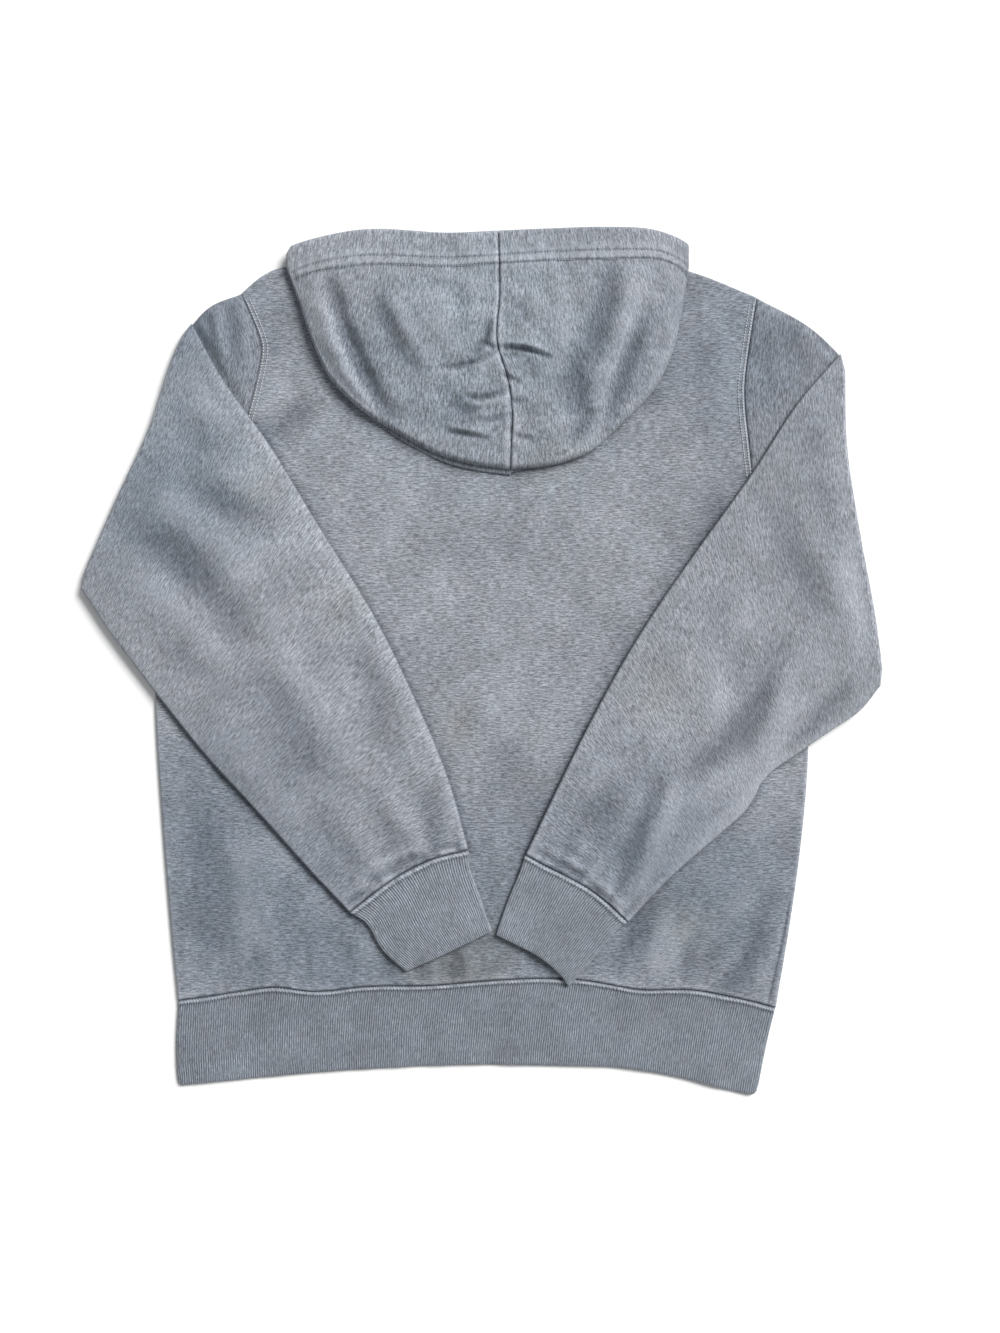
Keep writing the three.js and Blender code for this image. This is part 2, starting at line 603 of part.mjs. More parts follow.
// Distances down one line of the fan, as shares of its length: the rows of the turned hem, then even
// rows as far as the lip. A short line near the corner has its hem rows drawn together.
function hoodRows(length) {
  const squeeze = Math.min(1, (length - HOOD_LIP_ROOM) / SHORT_LINE);
  const hem = HOOD_HEM_ROWS.map((away) => away * squeeze);
  const rest = length - HOOD_LIP_ROOM - hem.at(-1);
  return [...hem, ...HOOD_LOWER_ROWS.map((k) => hem.at(-1) + rest * k)].map((away) => away / length);
}

const lineLength = (place, along) => distance(place(along, 0), place(along, 1));

function hoodRise(at, along, down) {
  const arch = Math.sin(Math.PI * clamp01(down * CROWN_SPAN + CROWN_SHIFT)) ** CROWN_POWER;
  const crown = HOOD_CROWN * smooth(along / CROWN_START) * arch;
  const folds = foldHeight(HOOD_FOLDS, at.x, at.y) * smooth((1 - down) / FOLD_STOP);
  return bodyRise(at.x, at.y) + Math.max(0, crown + folds);
}

function hoodHalf(name, mouth, outline, side) {
  const place = hoodPlace(mouth, outline, (side * SEAM_GAP) / 2);
  const lip = [
    { inset: 1.4, z: HOOD_TOP - 1.1, innerInset: 3, innerZ: HOOD_TOP - CLOTH - 0.4 },
    { inset: 0, z: SECOND_LAYER + HOOD_LIP + 1.3, innerInset: 1.8, innerZ: SECOND_LAYER + HOOD_LIP },
  ];
  const lines = side < 0 ? HOOD_ALONG : [...HOOD_ALONG].reverse();
  const outer = [];
  const inner = [];
  const rowCount = hoodRows(SHORT_LINE).length;
  for (let i = 0; i < rowCount; i += 1) {
    const points = lines.map((along) => {
      const down = hoodRows(lineLength(place, along))[i];
      const at = place(along, down);
      const hem = HOOD_HEM_RISE * (i < HOOD_HEM_ROWS.length - 1 ? 1 : 0);
      const edge = i === 0 || along === 0 ? 2 * EDGE_DROP : 0;
      const seam = along === 1 ? EDGE_DROP : 0;
      return { at, z: HOOD_TOP + hoodRise(at, along, down), hem: hem - edge - seam };
    });
    outer.push(points.map(({ at, z, hem }) => [at.x, at.y, z + hem]));
    inner.push(points.map(({ at, z }) => [at.x, at.y, z - CLOTH]));
  }
  lip.forEach(({ inset, z, innerInset, innerZ }) => {
    const row = (away, height) => lines.map((along) => {
      const at = place(along, 1 - away / lineLength(place, along));
      return [at.x, at.y, height + bodyRise(at.x, at.y)];
    });
    outer.push(row(inset, z));
    inner.push(row(innerInset, innerZ));
  });
  return wall(name, outer, inner, false, FLEECE);
}

// The hidden layers of the hood as one rounded solid: from the front neckline up under the back's
// neck, round the mouth, and down over the back to the fold, where the under layer shows below the
// outline on the left. The table gives how far it reaches past the outline, by the share along it.
const NECK_CLEAR = 0.9;
const TOP_CLEAR = 11;
const NECK_SHARE = 0.96;
const TOP_LOOK = 0.06;
const MOUTH_TURN = [
  { inside: 5, z: 0 },
  { inside: 2, z: 1.2 },
  { inside: 1, z: SECOND_LAYER },
];
const EDGE_STEPS = [
  { inset: 4, drop: 0.4, innerInset: 4.6 },
  { inset: 3.4, innerInset: 3.6 },
  { inset: 0, drop: 0.5, innerInset: 0, peeks: true },
];
const PEEK = table('along left right', [
  [0.05, -2, -2], [0.5, -1, -2], [0.62, 3.4, -2], [0.8, 4.6, -2], [0.92, 4.6, -1.2], [1, 4.6, 3],
]);

function peekAt(along, key) {
  let i = 0;
  while (i < PEEK.length - 2 && along > PEEK[i + 1].along) i += 1;
  const k = clamp01((along - PEEK[i].along) / (PEEK[i + 1].along - PEEK[i].along));
  return PEEK[i][key] + (PEEK[i + 1][key] - PEEK[i][key]) * k;
}

function hoodUnder(name) {
  const placeLeft = hoodPlace(MOUTH_LEFT, OUTLINE_LEFT, 0);
  const placeRight = hoodPlace(MOUTH_RIGHT, OUTLINE_RIGHT, 0);
  const half = HOOD_ALONG.slice(1);
  const lines = [
    ...half.map((along) => ({ along, key: 'left', place: placeLeft })),
    ...half.slice(0, -1).reverse().map((along) => ({ along, key: 'right', place: placeRight })),
  ];
  const neckKnots = ACROSS.filter((u) => u >= NECK_START && u <= NECK_STOP)
    .map((u) => (u - NECK_START) / (NECK_STOP - NECK_START));
  const neckBack = drawnStraight(curveThrough(BACK_NECK), neckKnots);
  const neckFront = drawnStraight(curveThrough(FRONT_NECK), neckKnots);
  const topPoints = ACROSS.map(bodyTop(BACK_NECK));
  const topY = (x) => {
    let i = 0;
    while (i < topPoints.length - 2 && x > topPoints[i + 1].x) i += 1;
    const [before, after] = [topPoints[i], topPoints[i + 1]];
    return mix(before, after, (x - before.x) / (after.x - before.x)).y;
  };
  const outer = [];
  const inner = [];
  const last = lines.length - 1;
  const neckRow = (curve, rise, z) => lines.map((_, i) => {
    const at = curve((1 - NECK_SHARE) / 2 + (NECK_SHARE * i) / last);
    return [at.x, at.y + rise, z];
  });
  const mouthRow = ({ inside, z }) => lines.map(({ along, place }) => {
    const at = place(along, 0);
    return [at.x, at.y - inside, z];
  });
  const topRow = (z) => lines.map(({ along, place }) => {
    const x = place(along, TOP_LOOK).x;
    return [x, topY(x) + TOP_CLEAR, z];
  });
  outer.push(neckRow(neckFront, NECK_CLEAR, 0));
  inner.push(neckRow(neckFront, NECK_CLEAR, CLOTH));
  outer.push(neckRow(neckBack, NECK_CLEAR, 0));
  inner.push(neckRow(neckBack, -NECK_CLEAR, CLOTH));
  outer.push(...MOUTH_TURN.map(mouthRow));
  inner.push(neckRow(neckBack, TOP_CLEAR, CLOTH));
  inner.push(topRow(FLAT_TUBE - CLOTH / 2));
  inner.push(topRow(SECOND_LAYER - SEAM_GAP));

  const underTop = HOOD_TOP - CLOTH - SEAM_GAP;
  const rowCount = hoodRows(SHORT_LINE).length;
  for (let i = 2; i < rowCount; i += 1) {
    outer.push(lines.map(({ along, place }) => {
      const down = hoodRows(lineLength(place, along))[i];
      const at = place(along, down);
      return [at.x, at.y, underTop + hoodRise(at, along, down)];
    }));
    inner.push(lines.map(({ along, place }) => {
      const length = lineLength(place, along);
      const mouthY = place(along, 0).y;
      const start = (mouthY - topY(place(along, TOP_LOOK).x)) / (mouthY - place(along, 1).y);
      const stop = 1 - HOOD_LIP_ROOM / length;
      const first = Math.min(start + 0.02, stop - 0.1);
      const at = place(along, first + ((stop - first) * (i - 2)) / (rowCount - 3));
      return [at.x, at.y, SECOND_LAYER + bodyRise(at.x, at.y)];
    }));
  }
  const edgeRow = (inset, z, peeks) => lines.map(({ along, key, place }) => {
    const beyond = peeks ? peekAt(along, key) : 0;
    const at = place(along, 1 + (beyond - inset) / lineLength(place, along));
    return [at.x, at.y, z + bodyRise(at.x, at.y)];
  });
  const ledge = SECOND_LAYER + HOOD_LIP - SEAM_GAP;
  EDGE_STEPS.forEach(({ inset, drop = 0, innerInset, peeks = false }, i) => {
    outer.push(edgeRow(inset, (i === 0 ? underTop : ledge) - drop, peeks));
    inner.push(edgeRow(innerInset, SECOND_LAYER, peeks));
  });
  return wall(name, outer, inner, false, FLEECE);
}

const hoodie = new THREE.Group();
hoodie.add(
  bodyPanel('front', FRONT_NECK, 0, () => 0),
  bodyPanel('back', BACK_NECK, CLOTH + SEAM_GAP, bodyRise),
  sleeve('sleeve_left', armholeLeft, FOLD_LEFT, UPPER_LEFT, LOWER_LEFT, CUFF_SEAM_LEFT, -1),
  sleeve('sleeve_right', armholeRight, FOLD_RIGHT, UPPER_RIGHT, LOWER_RIGHT, CUFF_SEAM_RIGHT, 1),
  cuff('cuff_left', CUFF_SEAM_LEFT, CUFF_LEFT_UPPER, CUFF_LEFT_LOWER, CUFF_LEFT_END),
  cuff('cuff_right', CUFF_SEAM_RIGHT, CUFF_RIGHT_UPPER, CUFF_RIGHT_LOWER, CUFF_RIGHT_END),
  hemBand('hem_band'),
  hoodHalf('hood_left', MOUTH_LEFT, OUTLINE_LEFT, -1),
  hoodHalf('hood_right', MOUTH_RIGHT, OUTLINE_RIGHT, 1),
  hoodUnder('hood_under'),
);

export default hoodie;
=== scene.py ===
import bpy
import numpy as np
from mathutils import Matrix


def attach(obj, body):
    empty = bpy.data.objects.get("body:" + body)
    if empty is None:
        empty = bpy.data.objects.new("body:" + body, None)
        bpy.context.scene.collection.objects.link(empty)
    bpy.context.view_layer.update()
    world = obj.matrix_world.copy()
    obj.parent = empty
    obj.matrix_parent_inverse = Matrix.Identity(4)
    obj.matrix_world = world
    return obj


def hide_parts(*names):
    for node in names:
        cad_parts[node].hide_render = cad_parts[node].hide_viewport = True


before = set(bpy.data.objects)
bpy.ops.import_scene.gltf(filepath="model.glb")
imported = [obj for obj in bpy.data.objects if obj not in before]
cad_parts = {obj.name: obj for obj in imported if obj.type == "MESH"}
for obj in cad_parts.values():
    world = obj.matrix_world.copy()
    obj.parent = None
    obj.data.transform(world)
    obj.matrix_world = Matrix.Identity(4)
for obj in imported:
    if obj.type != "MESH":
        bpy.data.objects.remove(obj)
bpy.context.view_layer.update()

# Front and back panels: two flat cuts of brushed heather fleece, sewn together at the sides and the
# shoulders. The front lies on the surface, and the back rests on it with a little air between them.
MM = 0.001
CLOTH = 2.0
SEAM_GAP = 0.3
LAYER_GAP = 0.8
FLAT_TUBE = 2 * CLOTH + SEAM_GAP
MID_TUBE = FLAT_TUBE / 2
SECOND_LAYER = FLAT_TUBE + LAYER_GAP
FOLD_AXIS = FLAT_TUBE + LAYER_GAP / 2
CENTRE = np.array([0.57, 0.98])

# Outline tables: x and y in millimetres, from the hem up or from the left to the right. The armholes
# run from the shoulder down to the underarm.
SIDE_LEFT = [(-260.8, -290.9), (-266.4, -234), (-272.8, -156.5), (-279.7, -53), (-283.2, 65.1)]
SIDE_RIGHT = [(254.7, -297), (266.8, -225.4), (276.3, -156.5), (282.3, -87.5), (284.9, 44.4)]
ARMHOLE_LEFT = [
    (-206.4, 319.4), (-190, 278.9), (-189.2, 264), (-199.5, 218.5), (-222, 150), (-283.2, 65.1),
]
ARMHOLE_RIGHT = [(238.3, 315.9), (230, 262.5), (227.5, 235), (230.1, 200.5), (240, 140), (284.9, 44.4)]
SHOULDER_LEFT = [(-206.4, 319.4), (-189.5, 333.8), (-172.8, 341.4), (-90.9, 354)]
SHOULDER_RIGHT = [(107.3, 354), (180.6, 338.3), (238.3, 315.9)]
BACK_NECK = [(-90.9, 354), (-45, 343), (8.2, 339), (62, 343), (107.3, 354)]
FRONT_NECK = [(-90.9, 354), (-66, 302), (8.2, 272), (82, 302), (107.3, 354)]
HEM_SEAM = [
    (-260.8, -290.9), (-212.5, -284), (-178, -279.5), (-143.5, -283.2), (-97, -278.9), (-40, -277.8),
    (22.8, -272.8), (80, -272.4), (138.4, -281.4), (184, -281.9), (230.6, -290.9), (254.7, -297),
]
UNDERARM = 0.5
NECK_START = 0.25
NECK_STOP = 0.6875

# Folds of the body: three points, then half-width, depth (negative for a trough) and lean, which is
# the share of the depth that stands up as a ridge, on the left of the fold's line where it is positive.
BODY_FOLDS = [
    (254, -190, 233, -250, 212, -284, 12, -3.8, -0.35),
    (222, -256, 212, -274, 196, -288, 10, -2.4, 0),
    (264, -206, 249, -254, 236, -290, 7, 1.3, 0),
    (142.7, -222, 138, -245, 134, -270, 7, -1.8, 0.4),
    (179.7, -238, 177, -262, 174, -286, 6.5, -2.2, 0.4),
    (152, -204, 130, -236, 112, -270, 9, -3.0, 0.3),
    (-60, -230, -56, -256, -50, -280, 8, -1.4, 0.3),
    (-24, -246, -20, -262, -22, -282, 5, -1.6, 0.4),
    (160, -206, 158, -230, 156, -262, 10, 0.8, 0),
    (238, -210, 208, -246, 174, -282, 8, -2.4, 0.35),
    (192, -206, 172, -238, 150, -270, 8, 1.1, 0),
    (-247, -104, -236, -192, -229, -270, 20, -1.7, 0.3),
    (-262, -60, -258, -150, -254, -230, 8, 0.8, 0),
    (-212, -150, -206, -200, -208, -262, 12, 0.9, 0),
    (-196, 184, -167, 206, -144, 232, 12, -3.2, 0.3),
    (-214, 168, -186, 190, -160, 214, 11, 1.0, 0),
    (-120, -236, -116, -258, -112, -282, 7, -0.9, 0.3),
    (-80, -244, -82, -262, -78, -280, 6, -0.7, 0.3),
    (40, -238, 44, -256, 40, -274, 7, -0.9, 0.3),
    (92, -216, 96, -242, 94, -270, 8, -1.1, 0.4),
    (-196, -236, -192, -262, -196, -284, 7, -1.0, 0.4),
    (-152, -240, -150, -262, -154, -282, 6, -0.8, 0.3),
    (205, 190, 196, 120, 176, 70, 15, -1.3, 0.3),
    (196, 300, 190, 268, 192, 230, 14, -1.0, 0.3),
    (-150, 330, -172, 300, -176, 262, 12, -1.2, 0.3),
    (-60, 120, 10, 96, 90, 118, 24, -0.9, 0.2),
    (-20, -40, 24, -96, 40, -150, 20, -1.2, 0.2),
    (-10, -150, 12, -120, 30, -60, 16, -0.9, 0.2),
    (-120, 60, -60, 20, -20, -40, 24, -0.7, 0.2),
    (120, 40, 80, -10, 40, -60, 22, -0.7, 0.2),
]
BODY_LOFT = 3.0
DOME_HALF_X = 262.0
DOME_HALF_Y = 318.0
DOME_MID_Y = 30.0
NECK_HALF = 95.0
SHOULDER_SLOPE = 0.3
DOME_POWER = 6
FOLDS_FROM_EDGE = 3


def curve(rows, t):
    """Smooth curve through a table's rows: cubic pieces whose slope at each row is that of the chord
    between its neighbours. t runs from 0 to 1 by chord length."""
    rows = np.asarray(rows, float)
    chords = np.hypot(*np.diff(rows, axis=0).T)
    knots = np.concatenate([[0], np.cumsum(chords)])
    order = np.arange(len(rows))
    before = np.maximum(order - 1, 0)
    after = np.minimum(order + 1, len(rows) - 1)
    slopes = (rows[after] - rows[before]) / (knots[after] - knots[before])[:, None]
    along = np.clip(t, 0, 1) * knots[-1]
    i = np.clip(np.searchsorted(knots, along, side="right") - 1, 0, len(rows) - 2)
    run = (knots[i + 1] - knots[i])[..., None]
    k = (along - knots[i])[..., None] / run
    start = (1 + 2 * k) * (1 - k) ** 2 * rows[i] + k * (1 - k) ** 2 * run * slopes[i]
    stop = k * k * (3 - 2 * k) * rows[i + 1] - k * k * (1 - k) * run * slopes[i + 1]
    return start + stop


def patch(left, right, bottom, top, u, v, power=1.0):
    """Surface patch between four edges, each a table or a function: straight lines run from the left
    edge to the right one, and the bend of the bottom and top edges fades out along the patch with the
    given power."""
    def edge_of(side):
        return side if callable(side) else lambda t: curve(side, t)

    left, right, bottom, top = map(edge_of, (left, right, bottom, top))
    u, v = np.broadcast_arrays(u, v)
    k = u[..., None]
    w = v[..., None]
    first = np.zeros_like(u)
    last = first + 1
    chord = left(v) * (1 - k) + right(v) * k
    low = bottom(u) - left(first) * (1 - k) - right(first) * k
    high = top(u) - left(last) * (1 - k) - right(last) * k
    return chord + low * (1 - w) ** power + high * w ** power


def smooth(value):
    """Eases from 0 to 1: three times the square less twice the cube."""
    value = np.clip(value, 0, 1)
    return value * value * (3 - 2 * value)


WAVES = 8
SHORTEST_WAVE = 0.7
LONGEST_WAVE = 1.6


def lumps(x, y, size, seed):
    """Soft uneven rise between about -1 and 1: plane waves in drawn directions, added up."""
    draw = np.random.default_rng(seed)
    turns = draw.uniform(0, 2 * np.pi, WAVES)
    phases = draw.uniform(0, 2 * np.pi, WAVES)
    lengths = size * draw.uniform(SHORTEST_WAVE, LONGEST_WAVE, WAVES)
    total = np.zeros_like(x)
    for turn, phase, length in zip(turns, phases, lengths):
        total += np.sin((x * np.cos(turn) + y * np.sin(turn)) * 2 * np.pi / length + phase)
    return total / (WAVES / 2)


def bell(value, width):
    """1 where the value is nought, falling to about a third at one width either side."""
    return np.exp(-(value / width) ** 2)


FOLD_CHORDS = 12
FOLD_END_POWER = 0.7
RIDGE_AWAY = 1.7
RIDGE_WIDE = 1.1


def fold_height(folds, x, y):
    """Height of a table of folds: each is a bell across a bent line, with a bell of the other sign on
    one side, and it fades out at both ends."""
    height = np.zeros_like(x)
    for x1, y1, x2, y2, x3, y3, wide, deep, lean in folds:
        t = np.linspace(0, 1, FOLD_CHORDS + 1)
        bend_x = 2 * x2 - (x1 + x3) / 2
        bend_y = 2 * y2 - (y1 + y3) / 2
        line_x = (1 - t) ** 2 * x1 + 2 * t * (1 - t) * bend_x + t * t * x3
        line_y = (1 - t) ** 2 * y1 + 2 * t * (1 - t) * bend_y + t * t * y3
        nearest = np.full_like(x, np.inf)
        side = np.zeros_like(x)
        where = np.zeros_like(x)
        for i in range(FOLD_CHORDS):
            run_x = line_x[i + 1] - line_x[i]
            run_y = line_y[i + 1] - line_y[i]
            square = run_x * run_x + run_y * run_y
            away_x = x - line_x[i]
            away_y = y - line_y[i]
            k = np.clip((away_x * run_x + away_y * run_y) / square, 0, 1)
            distance = np.hypot(away_x - k * run_x, away_y - k * run_y)
            closer = distance < nearest
            nearest = np.where(closer, distance, nearest)
            side = np.where(closer, np.sign(run_x * away_y - run_y * away_x), side)
            where = np.where(closer, (i + k) / FOLD_CHORDS, where)
        ends = np.sin(np.pi * where) ** FOLD_END_POWER
        signed = nearest * side / wide
        ridge = abs(lean) * bell(signed - RIDGE_AWAY * np.sign(lean), RIDGE_WIDE)
        height += deep * ends * (bell(signed, 1) - ridge)
    return height


# Painted shade and highlight on folds: change in the wear value for each millimetre of fold height, and its
# limits.
FOLD_SHADE_PER_MM = 0.15
DARKEST_FOLD_SHADE = -0.60
PALEST_FOLD_HIGHLIGHT = 0.24


def painted_fold_shade(height):
    """Painted shade and highlight of a fold: darker down in a trough and paler up on a ridge, as light and
    shade fall there.
    """
    return np.clip(FOLD_SHADE_PER_MM * height, DARKEST_FOLD_SHADE, PALEST_FOLD_HIGHLIGHT)


def body_rise(x, y):
    """Loft of the back over the front: a flat dome that ends at the seams and falls away with the
    shoulders, with the body's folds."""
    lowered = SHOULDER_SLOPE * np.maximum(0, np.abs(x) - NECK_HALF) * (y > DOME_MID_Y)
    dome_x = 1 - np.abs(x / DOME_HALF_X) ** DOME_POWER
    dome_y = 1 - np.abs((y + lowered - DOME_MID_Y) / DOME_HALF_Y) ** DOME_POWER
    dome = np.clip(dome_x, 0, 1) * np.clip(dome_y, 0, 1)
    folds = fold_height(BODY_FOLDS, x, y) * smooth(dome * FOLDS_FROM_EDGE)
    return np.maximum(0, BODY_LOFT * dome + folds)


def spread(length, step, fine=(0.0, 0.5, 1.1, 2.0)):
    """Shares from 0 to 1 of a length at even steps, with closer ones near both ends."""
    fine = np.array(fine)
    count = max(int((length - 2 * fine[-1]) / step), 2)
    middle = np.linspace(fine[-1], length - fine[-1], count + 1)[1:-1]
    return np.concatenate([fine, middle, length - fine[::-1]]) / length


def wall(name, outer, inner, wrapped, grain, worn_and_shaded, finish):
    """Closed wall between two equal grids of points in millimetres: the outer skin, the inner one and
    a strip along each open end. grain holds each point's place in the cloth, which the finish reads
    as a map, and the next argument each point's wear with painted shade and highlight, from -1 where it is
    darkest to 1 where it is palest."""
    rows, count = outer.shape[:2]
    points = np.concatenate([outer.reshape(-1, 3), inner.reshape(-1, 3)])
    points[:, :2] -= CENTRE
    i = np.arange(rows - 1)[:, None]
    j = np.arange(count if wrapped else count - 1)[None, :]
    k = (j + 1) % count
    skin = np.stack([i * count + j, (i + 1) * count + j, (i + 1) * count + k, i * count + k], -1)
    skin = skin.reshape(-1, 4)
    under = rows * count
    j, k = j[0], k[0]
    last = (rows - 1) * count
    faces = [
        skin,
        skin[:, ::-1] + under,
        np.stack([j, k, k + under, j + under], -1),
        np.stack([k + last, j + last, j + last + under, k + last + under], -1),
    ]
    if not wrapped:
        a = np.arange(rows - 1) * count
        b = a + count - 1
        faces.append(np.stack([a, a + under, a + count + under, a + count], -1))
        faces.append(np.stack([b + under, b, b + count, b + count + under], -1))
    faces = np.concatenate(faces)
    p, q, r, s = (points[faces[:, n]] for n in range(4))
    volume = np.sum(p * np.cross(q, r)) + np.sum(p * np.cross(r, s))
    if volume < 0:
        faces = faces[:, ::-1]
    mesh = bpy.data.meshes.new(name)
    mesh.from_pydata((points * MM).tolist(), [], faces.tolist())
    places = np.tile(grain.reshape(-1, 2), (2, 1)) * MM
    map_layer = mesh.uv_layers.new(name="grain")
    map_layer.data.foreach_set("uv", places[faces.ravel()].astype(np.float32).ravel())
    # Point attribute: wear, with painted shade below nought and painted highlight above it.
    wear_and_shade_layer = mesh.attributes.new("wear_and_shade", "FLOAT", "POINT")
    wear_and_shade_layer.data.foreach_set("value", np.tile(worn_and_shaded.ravel(), 2).astype(np.float32))
    mesh.polygons.foreach_set("use_smooth", np.ones(len(faces), bool))
    mesh.update()
    piece = bpy.data.objects.new(name, mesh)
    bpy.context.scene.collection.objects.link(piece)
    mesh.materials.append(finish)
    return piece


# Faint warm stains, cooler and paler places, and broad patches of painted shade, cool and warm: x, y and
# radius in metres, strength and tint.
WARM = (1.0, 0.95, 0.80)
# Painted shade: cool tint of broad darker patches where the garment lies in shade.
COOL_SHADE = (0.65, 0.71, 0.76)
COOL = (0.92, 0.98, 1.0)
# Painted shade: warmer, darker tint between and beside the cuffs.
WARM_SHADE = (0.52, 0.53, 0.49)
PALE = (1.16, 1.15, 1.13)
SPOTS = [
    (-0.186, 0.149, 0.026, 0.32, WARM),
    (-0.123, 0.049, 0.032, 0.28, WARM),
    (-0.019, -0.053, 0.026, 0.36, WARM),
    (0.155, -0.021, 0.044, 0.30, WARM),
    (0.175, -0.231, 0.026, 0.30, WARM),
    (0.060, 0.175, 0.040, 0.16, WARM),
    (-0.235, -0.190, 0.155, 0.95, COOL_SHADE),
    (0.225, -0.215, 0.125, 0.85, COOL_SHADE),
    (-0.240, 0.290, 0.090, 0.95, COOL_SHADE),
    (0.225, 0.265, 0.105, 0.80, COOL_SHADE),
    (-0.270, 0.130, 0.110, 0.55, COOL_SHADE),
    (-0.110, 0.255, 0.050, 0.35, COOL_SHADE),
    (0.125, -0.160, 0.110, 0.75, COOL_SHADE),
    (0.000, -0.195, 0.100, 0.75, COOL_SHADE),
    (0.100, 0.245, 0.070, 0.60, COOL_SHADE),
    (-0.022, 0.215, 0.055, 0.40, COOL_SHADE),
    (-0.160, -0.060, 0.080, 0.30, COOL_SHADE),
    (-0.150, -0.245, 0.110, 0.75, COOL_SHADE),
    (-0.245, -0.110, 0.070, 0.60, COOL_SHADE),
    (-0.022, -0.262, 0.062, 0.70, WARM_SHADE),
    (-0.100, -0.272, 0.060, 0.70, COOL_SHADE),
    (0.055, -0.268, 0.055, 0.70, COOL_SHADE),
    (0.118, -0.258, 0.045, 0.60, COOL_SHADE),
    (0.185, -0.225, 0.050, 0.40, WARM_SHADE),
    (-0.060, -0.300, 0.060, 0.30, COOL_SHADE),
    (0.005, 0.285, 0.180, 0.90, COOL),
    (-0.270, 0.170, 0.130, 0.80, COOL),
    (-0.060, 0.080, 0.090, 0.25, PALE),
    (0.090, 0.120, 0.080, 0.25, PALE),
    (-0.120, -0.050, 0.060, 0.25, PALE),
    (0.120, 0.060, 0.060, 0.25, PALE),
    (-0.130, 0.250, 0.035, 0.30, PALE),
    (-0.080, 0.270, 0.080, 0.22, COOL_SHADE),
    (-0.270, 0.170, 0.080, 0.25, COOL_SHADE),
    (0.020, -0.235, 0.085, 0.28, WARM_SHADE),
]


# Heather: tones of the darkest and palest fibres beside the middle one, sizes of single fibres and of
# slubs beside a streak's, spots of each kind of noise to a metre, and how stains, wear, painted highlight
# and painted shade colour it.
DARKER = 0.40
PALER = 0.52
DARK_BELOW = 0.39
PALE_ABOVE = 0.61
FIBRE_SHORTER = 2.6
FIBRE_THINNER = 1.7
SLUB_LONGER = 0.35
SLUB_THICKER = 0.5
BROAD_TO_METRE = 16
BLOTCHES_TO_METRE = 46
RAGGED_TO_METRE = 60
HUES_TO_METRE = 70
PILLS_TO_METRE = 260
FUZZ_TO_METRE = 1100
MIDDLE_OF_NOISE = (0.35, 0.65)
FADED_TONES = (0.82, 1.18)
BLUER = (0.965, 1.0, 1.01)
SPOT_HEIGHT = 0.01
SPOT_RAGGED = 0.5
SPOT_CORE = 0.35
SPOT_REACH = 1.25
WORN_AND_LIT_PALER = 2.1
LEAST_WORN_AND_LIT = 0.45
PAINTED_SHADE_TINT = (0.34, 0.36, 0.40)


